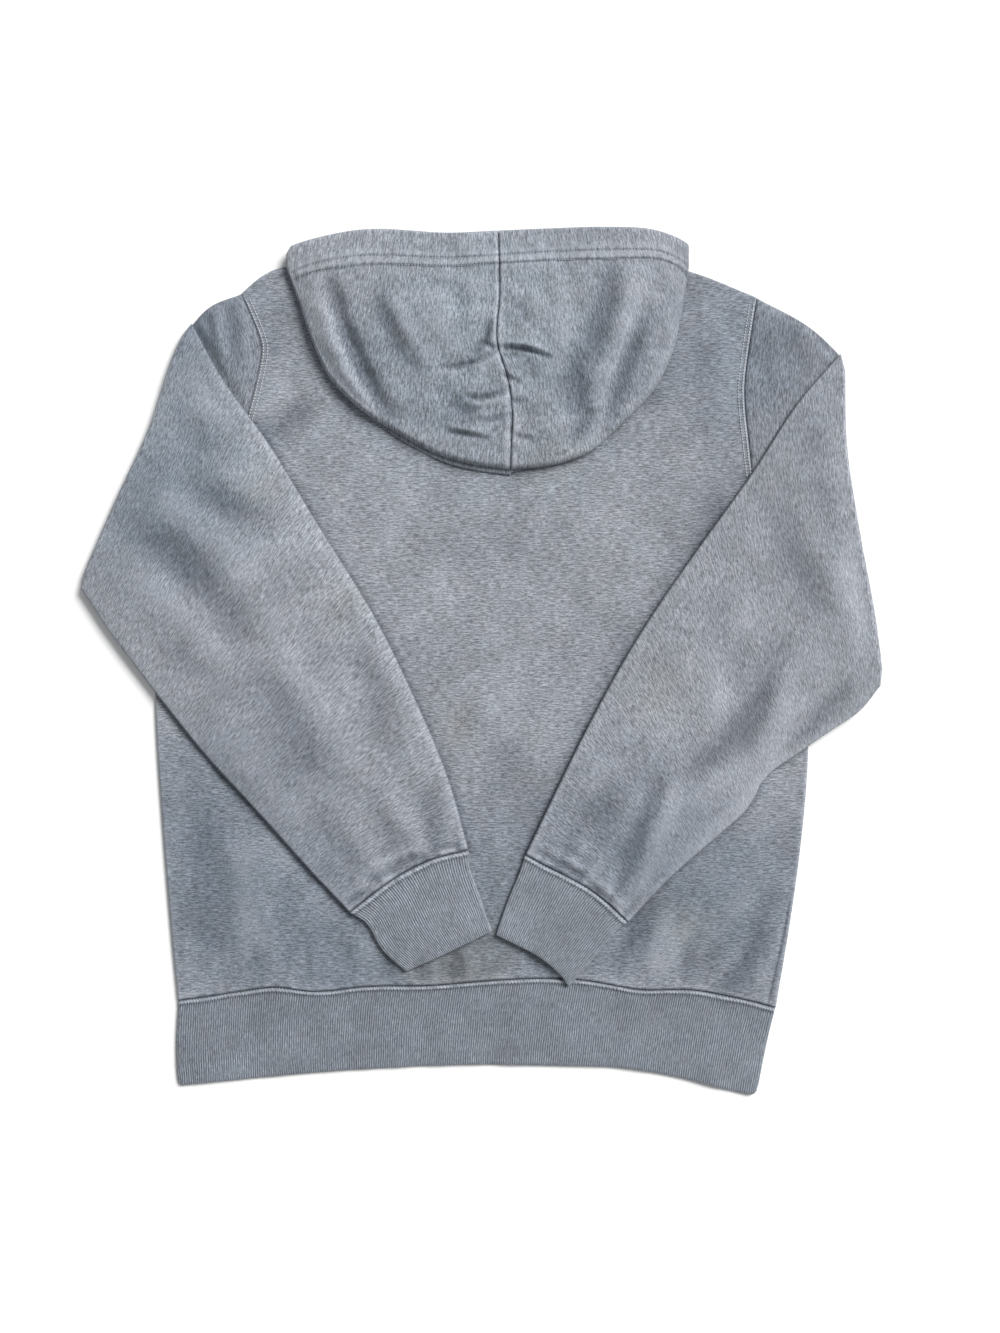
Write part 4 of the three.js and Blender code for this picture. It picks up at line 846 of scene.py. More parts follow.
def sleeve(name, armhole, fold, upper, lower, seam, side, seed):
    """A flattened tube in three runs of rings: out from the armhole, half a turn round the fold, and
    back to the cuff seam. The upper skin of the last run is lofted, folded and gathered at the cuff."""
    across, turn, up = ring_columns(TOP_COLUMNS, UNDER_COLUMNS)
    upper = [fold[0], *upper]
    lower = [fold[-1], *lower]
    middle_line = (curve(upper, np.array([0.0, 1.0])) + curve(lower, np.array([0.0, 1.0]))) / 2
    sleeve_long = np.hypot(*(middle_line[1] - middle_line[0]))

    def column(radius, width):
        return (MID_TUBE + across * (width - 2 * MID_TUBE) + radius * turn) / width

    def width_between(first, second):
        return np.hypot(*np.moveaxis(first - second, -1, 0))

    def cap_height(u, s, at):
        """Rise of the cap where it shows: it bulges between the armhole and the folded sleeve."""
        x, y = at[..., 0], at[..., 1]
        edge = np.array(upper, float)
        edge = edge[np.argsort(edge[:, 0])]
        shown = smooth((y - np.interp(x, edge[:, 0], edge[:, 1]) - 1.5) / CAP_EDGE)
        bulge = np.sin(np.pi * np.clip(s, 0, 1)) ** 0.5 * smooth(u * SLEEVE_ROUND / CAP_EDGE)
        soft = CAP_SOFT * lumps(x, y, 28, seed + 5)
        return shown * bulge * np.maximum(0, CAP_LOFT + fold_height(CAP_FOLDS, x, y) + soft)

    def cap(radius):
        """The run of rings from the armhole out to the fold."""
        s = np.concatenate([[SEAM_GAP / CAP_SPAN, 0.012, 0.03], np.linspace(0.05, 0.97, CAP_ROWS)])[:, None]
        ends = [curve(armhole, np.array([n])) * (1 - s) + curve(fold, np.array([n])) * s for n in (0.0, 1.0)]
        u = column(radius, width_between(*ends)[:, None])
        share = s[..., None]
        under = curve(armhole, u) * (1 - share) + curve(fold, u) * share
        bulged = CAP_BULGE * np.sin(np.pi * s ** CAP_BULGE_POWER) * bell(u * SLEEVE_ROUND, CAP_BULGE_WIDE)
        under = under + np.stack([side * CAP_BULGE_ASIDE * bulged, bulged], -1)
        near_seam = s * CAP_SPAN
        cap_fade = smooth((1 - s) * CAP_SPAN / FOLD_FADE)
        upper_share = (1 + up) / 2
        lifted = cap_fade * body_rise(under[..., 0], under[..., 1]) + cap_height(u, s, under)
        height = MID_TUBE + radius * up + upper_share * lifted
        height = height - (up > 0) * SLEEVE_SEAM_DROP * np.clip(1 - near_seam / SEAM_DROP_LONG, 0, 1) ** 2
        grain = np.dstack([u * SLEEVE_ROUND, s * CAP_SPAN + 0 * u])
        # Painted shade and highlight of the cap's folds, and painted shade in the groove at the armhole
        # seam; the cap is also a little darker all over.
        shade = painted_fold_shade(fold_height(CAP_FOLDS, under[..., 0], under[..., 1]))
        return np.dstack([under, height]), grain, shade - CAP_DEEPER - 0.5 * smooth((2.0 - near_seam) / 1.5)

    def turned(radius):
        """The half turn round the fold."""
        angle = np.linspace(0, np.pi, TURN_ROWS)[:, None]
        width = width_between(curve(fold, np.array([0.0])), curve(fold, np.array([1.0])))
        u = column(radius, width) + 0 * angle
        a = curve(fold, u - 0.01)
        b = curve(fold, u + 0.01)
        run = width_between(a, b)
        normal = np.stack([-side * (b[..., 1] - a[..., 1]), side * (b[..., 0] - a[..., 0])], -1)
        normal = normal / run[..., None]
        round_fold = FOLD_AXIS - MID_TUBE - radius * up
        corner = 0.25 + 0.75 * smooth(np.minimum(u, 1 - u) * width / FOLD_CORNER)
        at = curve(fold, u) + normal * (corner * round_fold * np.sin(angle))[..., None]
        height = FOLD_AXIS - round_fold * np.cos(angle)
        grain = np.dstack([u * SLEEVE_ROUND, CAP_SPAN + angle * 3 + 0 * u])
        return np.dstack([at, height]), grain, FOLD_PALE * np.sin(angle) + 0 * u

    def back_over(radius):
        """The run of rings from the fold to the cuff seam."""
        body_rows = np.linspace(0, CUFF_END_FROM, 112)[1:]
        cuff_rows = np.linspace(CUFF_END_FROM, 1 - 2.4 / sleeve_long, 62)[1:]
        s = np.concatenate([body_rows, cuff_rows, 1 - np.array([1.6, 0.9, 0.4, 0.0]) / sleeve_long])
        s = s[:, None]
        u = column(radius, width_between(curve(upper, s[:, 0]), curve(lower, s[:, 0]))[:, None])
        at = patch(upper, lower, fold, seam, u, s, 3.0)
        x, y = at[..., 0], at[..., 1]
        fade = smooth(s * sleeve_long / FOLD_FADE)
        loft = SLEEVE_LOFT - (SLEEVE_LOFT - CUFF_LOFT) * smooth((s - 0.75) / 0.25)
        crown = np.sin(np.pi * np.clip(u, 0, 1)) ** 0.6
        before_cuff = (1 - s) * sleeve_long
        round_cuff = u * CUFF_ROUND
        wave = np.sin(round_cuff * 2 * np.pi / PUCKER_PITCH + 2.5 * lumps(round_cuff, s * 300, 50, seed))
        gather = PUCKER_HIGH * wave * np.exp(-before_cuff / 9) * smooth(before_cuff / 2.5)
        long_wave = np.sin(round_cuff * 2 * np.pi / (2 * PUCKER_PITCH) + seed)
        gather = gather + PUCKER_HIGH * long_wave * np.exp(-before_cuff / 24) * smooth(before_cuff / 4)
        soft = (0.8 * lumps(x, y, 60, seed + 1) + 0.22 * lumps(x, y, 23, seed + 2)) * fade * crown
        folds = fold_height(SLEEVE_FOLDS, x, y)
        puff = loft * crown + folds * crown + gather * crown + soft
        top_share = (1 - up) / 2
        rise = fade * (body_rise(x, y) + top_share * np.maximum(0, puff))
        height = 2 * FOLD_AXIS - MID_TUBE - radius * up + rise
        near_cuff = np.clip(1 - before_cuff / SEAM_DROP_LONG, 0, 1) ** 2 * (radius > 1)
        height = height - top_share * CUFF_SEAM_DROP * near_cuff
        spread_wide = SLEEVE_ROUND - SLEEVE_NARROWS * s
        grain = np.dstack([u * spread_wide, CAP_SPAN + 10 + s * sleeve_long + 0 * u])
        # Painted shade down in the groove at the cuff seam.
        groove = smooth((1.7 - before_cuff) / 1.2)
        uneven = 0.35 + 0.35 * lumps(round_cuff, 0 * u, 24, seed + 3)
        rubbed = uneven * bell(before_cuff - 3.4, 2.0)
        # Painted shade and highlight of the sleeve's folds, soft lumps and the puckers above the cuff,
        # stronger near the cuff.
        puckered = 1 + 0.9 * np.exp(-before_cuff / 16)
        shaded = painted_fold_shade(folds * puckered + 0.9 * soft + 2.4 * gather)
        over_back = 1 - smooth((u - 0.5) / 0.2) * (1 - smooth((s - 0.22) / 0.08))
        turned_under = smooth((up + 0.85) / 0.4)
        to_edge = np.minimum(u, 1 - u) * spread_wide
        # Pale worn rim along the edge of the part over the back, and painted shade on its turned-under side.
        rim = RIM_PALE * bell(to_edge - 3.0, 1.8) * top_share - TURNED_UNDER_SHADE * turned_under
        return np.dstack([at, height]), grain, rubbed - 0.9 * groove + shaded + rim * over_back

    def skin(radius):
        runs = zip(cap(radius), turned(radius), back_over(radius))
        return [np.concatenate(parts) for parts in runs]

    outer, grain, worn_and_shaded = skin(MID_TUBE)
    inner = skin(SEAM_GAP / 2)[0]
    piece = wall(name, outer, inner, True, grain, worn_and_shaded, FLEECE)
    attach(piece, "root")
    return piece


def paint_shadow_beside(panel, line, wide, strength):
    """Painted shadow beside an edge that rests on the panel: the panel's wear value falls by the
    strength, as a bell across the line, darkening it as a cast shadow would."""
    mesh = panel.data
    spots = np.empty(len(mesh.vertices) * 3, np.float32)
    mesh.vertices.foreach_get("co", spots)
    worn_and_shaded = np.empty(len(mesh.vertices), np.float32)
    mesh.attributes["wear_and_shade"].data.foreach_get("value", worn_and_shaded)
    along = (curve(line, np.linspace(0, 1, 120)) - CENTRE) * MM
    nearest = np.full(len(worn_and_shaded), np.inf, np.float32)
    for x, y in along:
        nearest = np.minimum(nearest, np.hypot(spots[0::3] - x, spots[1::3] - y))
    worn_and_shaded -= strength * bell(nearest, wide * MM)
    mesh.attributes["wear_and_shade"].data.foreach_set("value", worn_and_shaded)


left_edges = (ARMHOLE_LEFT, FOLD_LEFT, UPPER_LEFT, LOWER_LEFT, CUFF_SEAM_LEFT)
right_edges = (ARMHOLE_RIGHT, FOLD_RIGHT, UPPER_RIGHT, LOWER_RIGHT, CUFF_SEAM_RIGHT)
left_sleeve = sleeve("left_sleeve", *left_edges, -1, 21)
right_sleeve = sleeve("right_sleeve", *right_edges, 1, 31)
# Painted shadow on the back beside the sleeves: a narrow dark line along each edge, and broad soft shadow
# beside the upper edges.
for line in (UPPER_LEFT, LOWER_LEFT, UPPER_RIGHT, LOWER_RIGHT):
    paint_shadow_beside(back_panel, line, 3.4, 0.50)
paint_shadow_beside(back_panel, UPPER_RIGHT, 17, 0.30)
paint_shadow_beside(back_panel, UPPER_LEFT, 9, 0.12)
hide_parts("sleeve_left")
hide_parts("sleeve_right")

# Cuffs: tubes of one by one rib knit, stretched a little as they are sewn to the sleeve ends, so that
# the seam puckers. The ribs run along the sleeve, and the seam's edge is rubbed pale.
RIB_PITCH = 1.95
RIB_DEPTH = 0.6
CUFF_LONG = 65.0
CUFF_PUCKER = 0.4
CUFF_LEFT_UPPER = [(-10.3, -159.9), (-8.2, -178), (1.3, -204.5), (10, -230)]
CUFF_LEFT_LOWER = [(-112.9, -213.9), (-97.8, -224.1), (-84.9, -246.5), (-64.2, -265.1)]
CUFF_LEFT_END = [(10, -230), (-27.6, -248.2), (-64.2, -265.1)]
CUFF_RIGHT_UPPER = [(38.4, -164.5), (32.3, -182.1), (24.2, -201.3), (13.2, -233.2)]
CUFF_RIGHT_LOWER = [(127.1, -222.5), (116.5, -229.6), (99, -252), (76.1, -278)]
CUFF_RIGHT_END = [(13.2, -233.2), (48.7, -251.3), (67, -266), (76.1, -278)]
CUFF_FOLDS = [
    (118, -214, 100, -240, 72, -278, 4.5, -1.3, 0.5),
    (-96, -214, -78, -238, -60, -262, 7, -1.0, 0.4),
    (-40, -176, -30, -206, -20, -244, 9, -0.8, 0.3),
    (58, -180, 50, -212, 40, -246, 8, -0.8, 0.3),
]
RIB_KNIT = heather("rib_knit", (0.208, 0.226, 0.256), 0.75, 0.0050, 0.00105, 0.0002, False)


# Rows of points near the seam of a tube of rib knit, the rubbed ridge below that seam and the groove under
# it, the stitches that break the ridge up, and the painted highlight on a rib and the painted shade in the
# furrow beside it.
SEAM_ROWS = [SEAM_GAP, 0.7, 1.2, 1.7, 2.3, 2.9, 3.5, 4.3, 5.2]
POINTS_TO_RIB = 5
RIDGE_BELOW_SEAM = 2.3
RIDGE_HALF = 1.15
RIDGE_HIGH = 0.75
GROOVE_BELOW_SEAM = 4.4
GROOVE_HALF = 0.8
GROOVE_DEEP = 0.25
SCALLOP_PITCH = 2.7
END_ROUND = 0.9
RIB_HIGHLIGHT = 0.46
FURROW_SHADE = 0.72


def ribbed_tube(name, place, base, long, ribbed_below, lift, top_lift, deeper, seed):
    """A flattened tube of rib knit: round ribs on its outer skin over a plain inside, a raised worn
    ridge just below the seam, and a rounded free end."""
    ends = place(np.array([[0.0, 1.0]]), np.array([[0.5]]))[0]
    width = np.hypot(*(ends[1] - ends[0]))
    ribs = int(round(width / RIB_PITCH))
    ribbed_points = ribs * POINTS_TO_RIB + 1
    across, turn, up = ring_columns(ribbed_points, ribbed_points if ribbed_below else 90)
    end_rows = long - np.array([2, 1.2, 0.6, 0.2, 0])
    s = np.concatenate([SEAM_ROWS, np.linspace(7, long - 3, 9), end_rows])
    s = (s / long)[:, None]

    def skin(radius):
        u = (MID_TUBE + across * (width - 2 * MID_TUBE) + radius * turn) / width + 0 * s
        at = place(u, s)
        x, y = at[..., 0], at[..., 1]
        below_seam = s * long
        to_end = (1 - s) * long
        shift = 0.35 * lumps(u * width, 0 * u, 30, seed + 7)
        scallop = np.sin(u * width * 2 * np.pi / SCALLOP_PITCH + 2 * lumps(u * width, 0 * u, 40, seed + 9))
        shift = shift + 0.3 * scallop
        ridge = bell(below_seam - RIDGE_BELOW_SEAM - shift, RIDGE_HALF)
        under_ridge = bell(below_seam - GROOVE_BELOW_SEAM - shift, GROOVE_HALF)
        seam_groove = smooth((1.1 + shift - below_seam) / 0.8)
        waver = 0.25 * lumps(u * width, s * long, 26, seed)
        rib = 0.5 - 0.5 * np.cos((u * width / RIB_PITCH + waver * smooth(below_seam / 20)) * 2 * np.pi)
        strength = smooth((below_seam - 2) / 3) * smooth(to_end / 2 + 0.35)
        outer_skin = radius > 1
        cut = RIB_DEPTH * (1 - rib) * strength * outer_skin
        cut = np.where(up < -0.01, cut * ribbed_below, cut)
        rounded = END_ROUND * np.clip(1 - to_end / 2.2, 0, 1) ** 2
        rounded = rounded + END_ROUND * np.clip(1 - below_seam / 1.3, 0, 1) ** 1.5
        uneven = 1 + 0.5 * lumps(u * width, 0 * u, 14, seed + 8)
        raised = (RIDGE_HIGH * ridge * uneven - GROOVE_DEEP * under_ridge) * (up > 0)
        height = up * (radius - (cut + rounded) * outer_skin) + raised * outer_skin
        stack_up = top_lift(u, s, x, y) * (up > 0) * np.abs(up) ** 0.5
        z = base + MID_TUBE + height + lift(x, y) + stack_up
        # Painted highlight on each rib's top and painted shade in the furrow beside it.
        rib_shading = (RIB_HIGHLIGHT * rib - FURROW_SHADE * (1 - rib)) * (1 - ridge) * strength
        pale_ridge = ridge * uneven * (0.68 + 0.32 * scallop)
        # Pale worn ridge below the seam, painted shade in the seam's groove and under the ridge, and a tone
        # darker towards one side.
        worn_and_shaded = pale_ridge - 0.95 * seam_groove - 0.6 * under_ridge + rib_shading - deeper * (1.5 - u)
        return np.dstack([at, z]), np.dstack([s * long + 0 * u, u * width]), worn_and_shaded + 0 * u

    outer, grain, worn_and_shaded = skin(MID_TUBE)
    inner = skin(SEAM_GAP / 2)[0]
    piece = wall(name, outer, inner, True, grain, worn_and_shaded, RIB_KNIT)
    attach(piece, "root")
    return piece


def cuff(name, seam, upper, lower, end, seed):
    """A ribbed tube between four edges, lofted like the sleeve's end and puckered at the seam."""
    def place(u, s):
        return patch(upper, lower, seam, end, u, s)

    def loft(u, s, x, y):
        crown = np.sin(np.pi * np.clip(u, 0, 1)) ** 0.7
        pucker = CUFF_PUCKER * np.sin(u * CUFF_ROUND * 2 * np.pi / 8.5 + seed) * np.exp(-s * CUFF_LONG / 8)
        return np.maximum(0, crown * (CUFF_LOFT + fold_height(CUFF_FOLDS, x, y) + pucker))

    return ribbed_tube(name, place, SECOND_LAYER, CUFF_LONG, True, body_rise, loft, 0.0, seed)


left_cuff = cuff("left_cuff", CUFF_SEAM_LEFT, CUFF_LEFT_UPPER, CUFF_LEFT_LOWER, CUFF_LEFT_END, 41)
right_cuff = cuff("right_cuff", CUFF_SEAM_RIGHT, CUFF_RIGHT_UPPER, CUFF_RIGHT_LOWER, CUFF_RIGHT_END, 42)
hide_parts("cuff_left")
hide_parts("cuff_right")

# Hem band: a tube of the same rib knit round the lower edge, a little shorter than the edge it is
# sewn to, so that it draws the body in. Its ribs run up and down.
BAND_LEFT = [(-260.8, -290.9), (-262.8, -328.9), (-261.5, -364.5)]
BAND_RIGHT = [(254.7, -297), (247, -328.9), (238.3, -373.2)]
BAND_END = [
    (-261.5, -364.5), (-190.1, -357.3), (-121.1, -351.3), (-17.7, -346.3), (60, -347), (120.2, -348.9),
    (170, -356.8), (205, -366), (238.3, -373.2),
]

BAND_WIDE = 516
BAND_LONG = 72
BAND_DEEPER = 0.16
CORNER_ROUND = 6.0


def band_place(u, s):
    """The band between its four edges, with both lower corners rounded: a point in a corner's square
    is drawn towards the square's inner corner until the square is a quarter disc."""
    u, s = np.broadcast_arrays(u, s)
    in_u = np.maximum(0, CORNER_ROUND - np.minimum(u, 1 - u) * BAND_WIDE)
    in_s = np.maximum(0, CORNER_ROUND - (1 - s) * BAND_LONG)
    pull = 1 - np.maximum(in_u, in_s) / np.maximum(np.hypot(in_u, in_s), 1e-6)
    both = (in_u > 0) & (in_s > 0)
    u = u + np.where(both, in_u * pull / BAND_WIDE, 0) * np.sign(0.5 - u)
    s = s - np.where(both, in_s * pull / BAND_LONG, 0)
    return patch(BAND_LEFT, BAND_RIGHT, HEM_SEAM, BAND_END, u, s)


def band_loft(u, s, x, y):
    """Rise of the band's top: the body's own, with a soft unevenness that fades out at both sides."""
    soft = 0.5 * lumps(x, y * 0.3, 44, 52) + 0.2 * lumps(x, y * 0.4, 19, 53)
    below = smooth(s * BAND_LONG / 5)
    return body_rise(x, y) + np.maximum(-0.8, soft) * smooth(np.minimum(u, 1 - u) * 30) * below


def no_lift(x, y):
    """The band lies on the surface, so its underside isn't raised."""
    return 0 * x


hem_tube = ribbed_tube("hem_tube", band_place, 0.0, BAND_LONG, False, no_lift, band_loft, BAND_DEEPER, 51)
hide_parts("hem_band")

# Hood: two halves of fleece joined by one seam over the crown, with a wide hem turned in at the mouth
# and held by two lines of stitching. It lies on the back as a pouch, mouth towards the neck.
MOUTH_LEFT = [(-167, 352.5), (-161.6, 359.5), (-121.1, 370.2), (-90.1, 373.4), (-29.7, 370.2), (15.4, 372)]
MOUTH_RIGHT = [(179, 351), (177.8, 361), (148.7, 372.8), (108.2, 375.2), (62.5, 374), (15.4, 372)]
OUTLINE_LEFT = [
    (-167.6, 342), (-156.5, 311.3), (-143.8, 274.5), (-129.3, 244.7), (-103, 218.2), (-71.1, 197.6),
    (-38, 180.3), (-8.2, 171.3), (25.5, 166.6),
]
OUTLINE_RIGHT = [
    (179.3, 341), (176.3, 321.3), (165.8, 270.2), (148.7, 234.9), (118.5, 203), (91.8, 180.5),
    (58, 169.6), (25.5, 166.6),
]
HOOD_SEAM = [
    (15.4, 372), (16.4, 315.9), (14.2, 275.4), (23.4, 243.9), (27.2, 216.2), (26.4, 190),
    (25.5, 166.6),
]
HOOD_UNDER_THICK = 3.3
HOOD_CROWN = 7.5
HOOD_LIP = 2.1
HOOD_LIP_ROOM = 5.5
SHORT_LINE = 60.0
HOOD_TOP = SECOND_LAYER + HOOD_UNDER_THICK + SEAM_GAP + CLOTH
HOOD_WIDE = 190
SEAM_BEND_POWER = 6
SEAM_GAP_POWER = 12

# Depth of both stitch lines below the mouth, by x.
STITCH_DEPTHS = [
    (-165, 24, 31), (-119, 25, 33.5), (-60, 23, 30.5), (16, 22, 29), (60, 21, 28.5), (107, 21.5, 29.5),
    (178, 20, 27),
]

# Folds of the hood, in the same columns as those of the body.
HOOD_FOLDS = [
    (-131, 340, -108, 266, -66, 192, 7.5, -5.8, -0.35),
    (-140, 318, -122, 262, -86, 212, 8, 1.5, 0),
    (-92, 326, -77, 283, -48, 240, 8, -3.6, 0.35),
    (-38, 252, -10, 256, 16, 269, 2.4, -4.0, -0.45),
    (-22, 258, -12, 254, -4, 256, 7, -1.6, 0),
    (8, 296, 2, 276, -12, 258, 3.6, -4.2, 0.35),
    (2, 277, 8, 271, 15, 268, 2.6, -3.0, 0),
    (-14, 229, 4, 227, 26, 236, 2.8, -4.2, -0.4),
    (-31, 199, -14, 196, 6, 192, 2.6, -3.4, 0.5),
    (-6, 207, 10, 208, 27, 214, 2.6, -2.2, 0.3),
    (-28, 228, -16, 214, -8, 202, 11, -3.0, 0.2),
    (13, 269, 36, 269, 64, 259, 2.3, -4.2, 0.45),
    (18, 250, 26, 243, 34, 240, 2.6, -2.4, 0.3),
    (16, 266, 34, 262, 56, 252, 9, -1.8, 0),
    (30, 318, 34, 304, 40, 290, 7, -2.0, 0.3),
    (26, 223, 33, 223.6, 42, 225, 2.8, -2.0, 0.4),
    (28, 193.5, 36, 193, 46, 191, 2.8, -2.0, 0.4),
    (30, 208, 44, 212, 60, 210, 8, -1.2, 0.2),
    (113, 346, 105, 300, 90, 256, 11, -5.2, 0.35),
    (91, 268, 82, 238, 94, 208, 11, -4.6, 0.35),
    (94, 218, 86, 202, 72, 191, 7, -3.0, 0.4),
    (144, 314, 126, 258, 103, 196, 7.5, -4.0, -0.35),
    (166, 304, 152, 250, 120, 208, 8, 1.3, 0),
    (64, 330, 70, 290, 64, 244, 11, 1.4, 0),
    (-44, 330, -36, 300, -32, 274, 11, 1.3, 0),
    (-20, 330, -16, 308, -18, 288, 8, -1.2, 0.3),
]


def hood_place(mouth, outline, gap):
    """Half of the hood as a fan: straight lines from the mouth to the outline, bent next to the centre
    seam so that the last of them follows it."""
    def place(along, down):
        along, down = np.broadcast_arrays(along, down)
        start = curve(mouth, along)
        stop = curve(outline, along)
        at = start + (stop - start) * down[..., None]
        first = np.array(mouth[-1])
        last = np.array(outline[-1])
        straight = first[0] + (last[0] - first[0]) * down
        bend = curve(HOOD_SEAM, down)[..., 0] - straight
        x = at[..., 0] + bend * along ** SEAM_BEND_POWER + gap * along ** SEAM_GAP_POWER
        return np.stack([x, at[..., 1]], -1)
    return place


def hood_rise(x, y, along, down):
    """Height over the flat hood: a crown that stands up in the middle, and the hood's folds."""
    crown = HOOD_CROWN * smooth(along / 0.3) * np.sin(np.pi * np.clip(down * 0.9 + 0.02, 0, 1)) ** 0.8
    folds = fold_height(HOOD_FOLDS, x, y) * smooth((1 - down) / 0.1)
    return body_rise(x, y) + np.maximum(0, crown + folds)


def line_lengths(place, along):
    """Length of each line of a fan, from the mouth to the outline."""
    return np.hypot(*np.moveaxis(place(along, 0 * along) - place(along, 0 * along + 1), -1, 0))


def hood_rows(length, hem_rows, lower_rows):
    """Shares of a fan line's length: the rows of the turned hem, drawn together on a short line, and
    then even rows as far as the lip."""
    squeeze = np.minimum(1, (length - HOOD_LIP_ROOM) / SHORT_LINE)
    hem = hem_rows[:, None] * squeeze
    rest = length - HOOD_LIP_ROOM - hem[-1]
    lower = hem[-1] + rest * np.linspace(0, 1, lower_rows + 1)[1:, None]
    return np.concatenate([hem, lower]) / length


def stitch_depths(x):
    """How far below the mouth the upper and the lower stitch line run at x."""
    depths = np.array(STITCH_DEPTHS, float)
    return np.interp(x, depths[:, 0], depths[:, 1]), np.interp(x, depths[:, 0], depths[:, 2])


HEM_HIGHER = 1.3
DENT_DEEP = 0.75
DENT_HALF = 0.9
RIPPLE_PITCH = 8.3
RIPPLE_HIGH = 0.25
BROAD_RIPPLE_HIGH = 0.45


def hem_rise(x, below_mouth):
    """Turned hem: about a cloth's fuzz higher than the rest, with a dent along both stitch lines."""
    upper, lower = stitch_depths(x)
    raised = HEM_HIGHER * smooth((lower + 1.6 - below_mouth) / 2.4)
    dents = bell(below_mouth - upper, DENT_HALF) + bell(below_mouth - lower, DENT_HALF)
    ripple = np.sin(x * 2 * np.pi / RIPPLE_PITCH + 2 * lumps(x, 0 * x, 40, 7))
    ripple = RIPPLE_HIGH * ripple * smooth(below_mouth / 4)
    ripple = ripple + BROAD_RIPPLE_HIGH * lumps(x, 0 * x, 34, 8) * smooth(below_mouth / 6)
    return raised - DENT_DEEP * dents + ripple * smooth((lower + 9 - below_mouth) / 8)


STITCH_DENT_SHADE = 0.42
DARK_HALF = 0.8
BETWEEN_PALE = 0.30
ABOVE_PALE = 0.20


def hem_wear_and_shade(x, below_mouth):
    """Painted shade down in the dents of both stitch lines, and rubbed pale between them and along the
    mouth's edge.
    """
    upper, lower = stitch_depths(x)
    dents = bell(below_mouth - upper, DARK_HALF) + bell(below_mouth - lower, DARK_HALF)
    pale = BETWEEN_PALE * bell(below_mouth - (upper + lower) / 2, 2.4)
    pale = pale + ABOVE_PALE * bell(below_mouth - upper + 3.4, 2.2)
    return pale - STITCH_DENT_SHADE * dents


# Rows of points down from the mouth, close together where the hem is stitched, and down to the lip.
HEM_ROWS = np.concatenate([[0, 0.4, 0.9, 1.6, 2.6], np.arange(4.2, 19, 2.2), np.arange(19.4, 37, 0.7)])
LOWER_ROWS = 104
MOUTH_DROP = 1.5
CORNER_DROP = 1.4
EDGE_DROP_LONG = 2.6
SEAM_DEEP = 1.1
SEAM_HALF = 1.5
SEAM_LIP = 0.5
HOOD_SOFT = 0.7
CRUMPLES = 0.34
CRUMPLED_NEAR_SEAM = 0.8
CRUMPLED_HALF = 45
SEAM_PALE = 0.45
SEAM_GROOVE_SHADE = 0.7


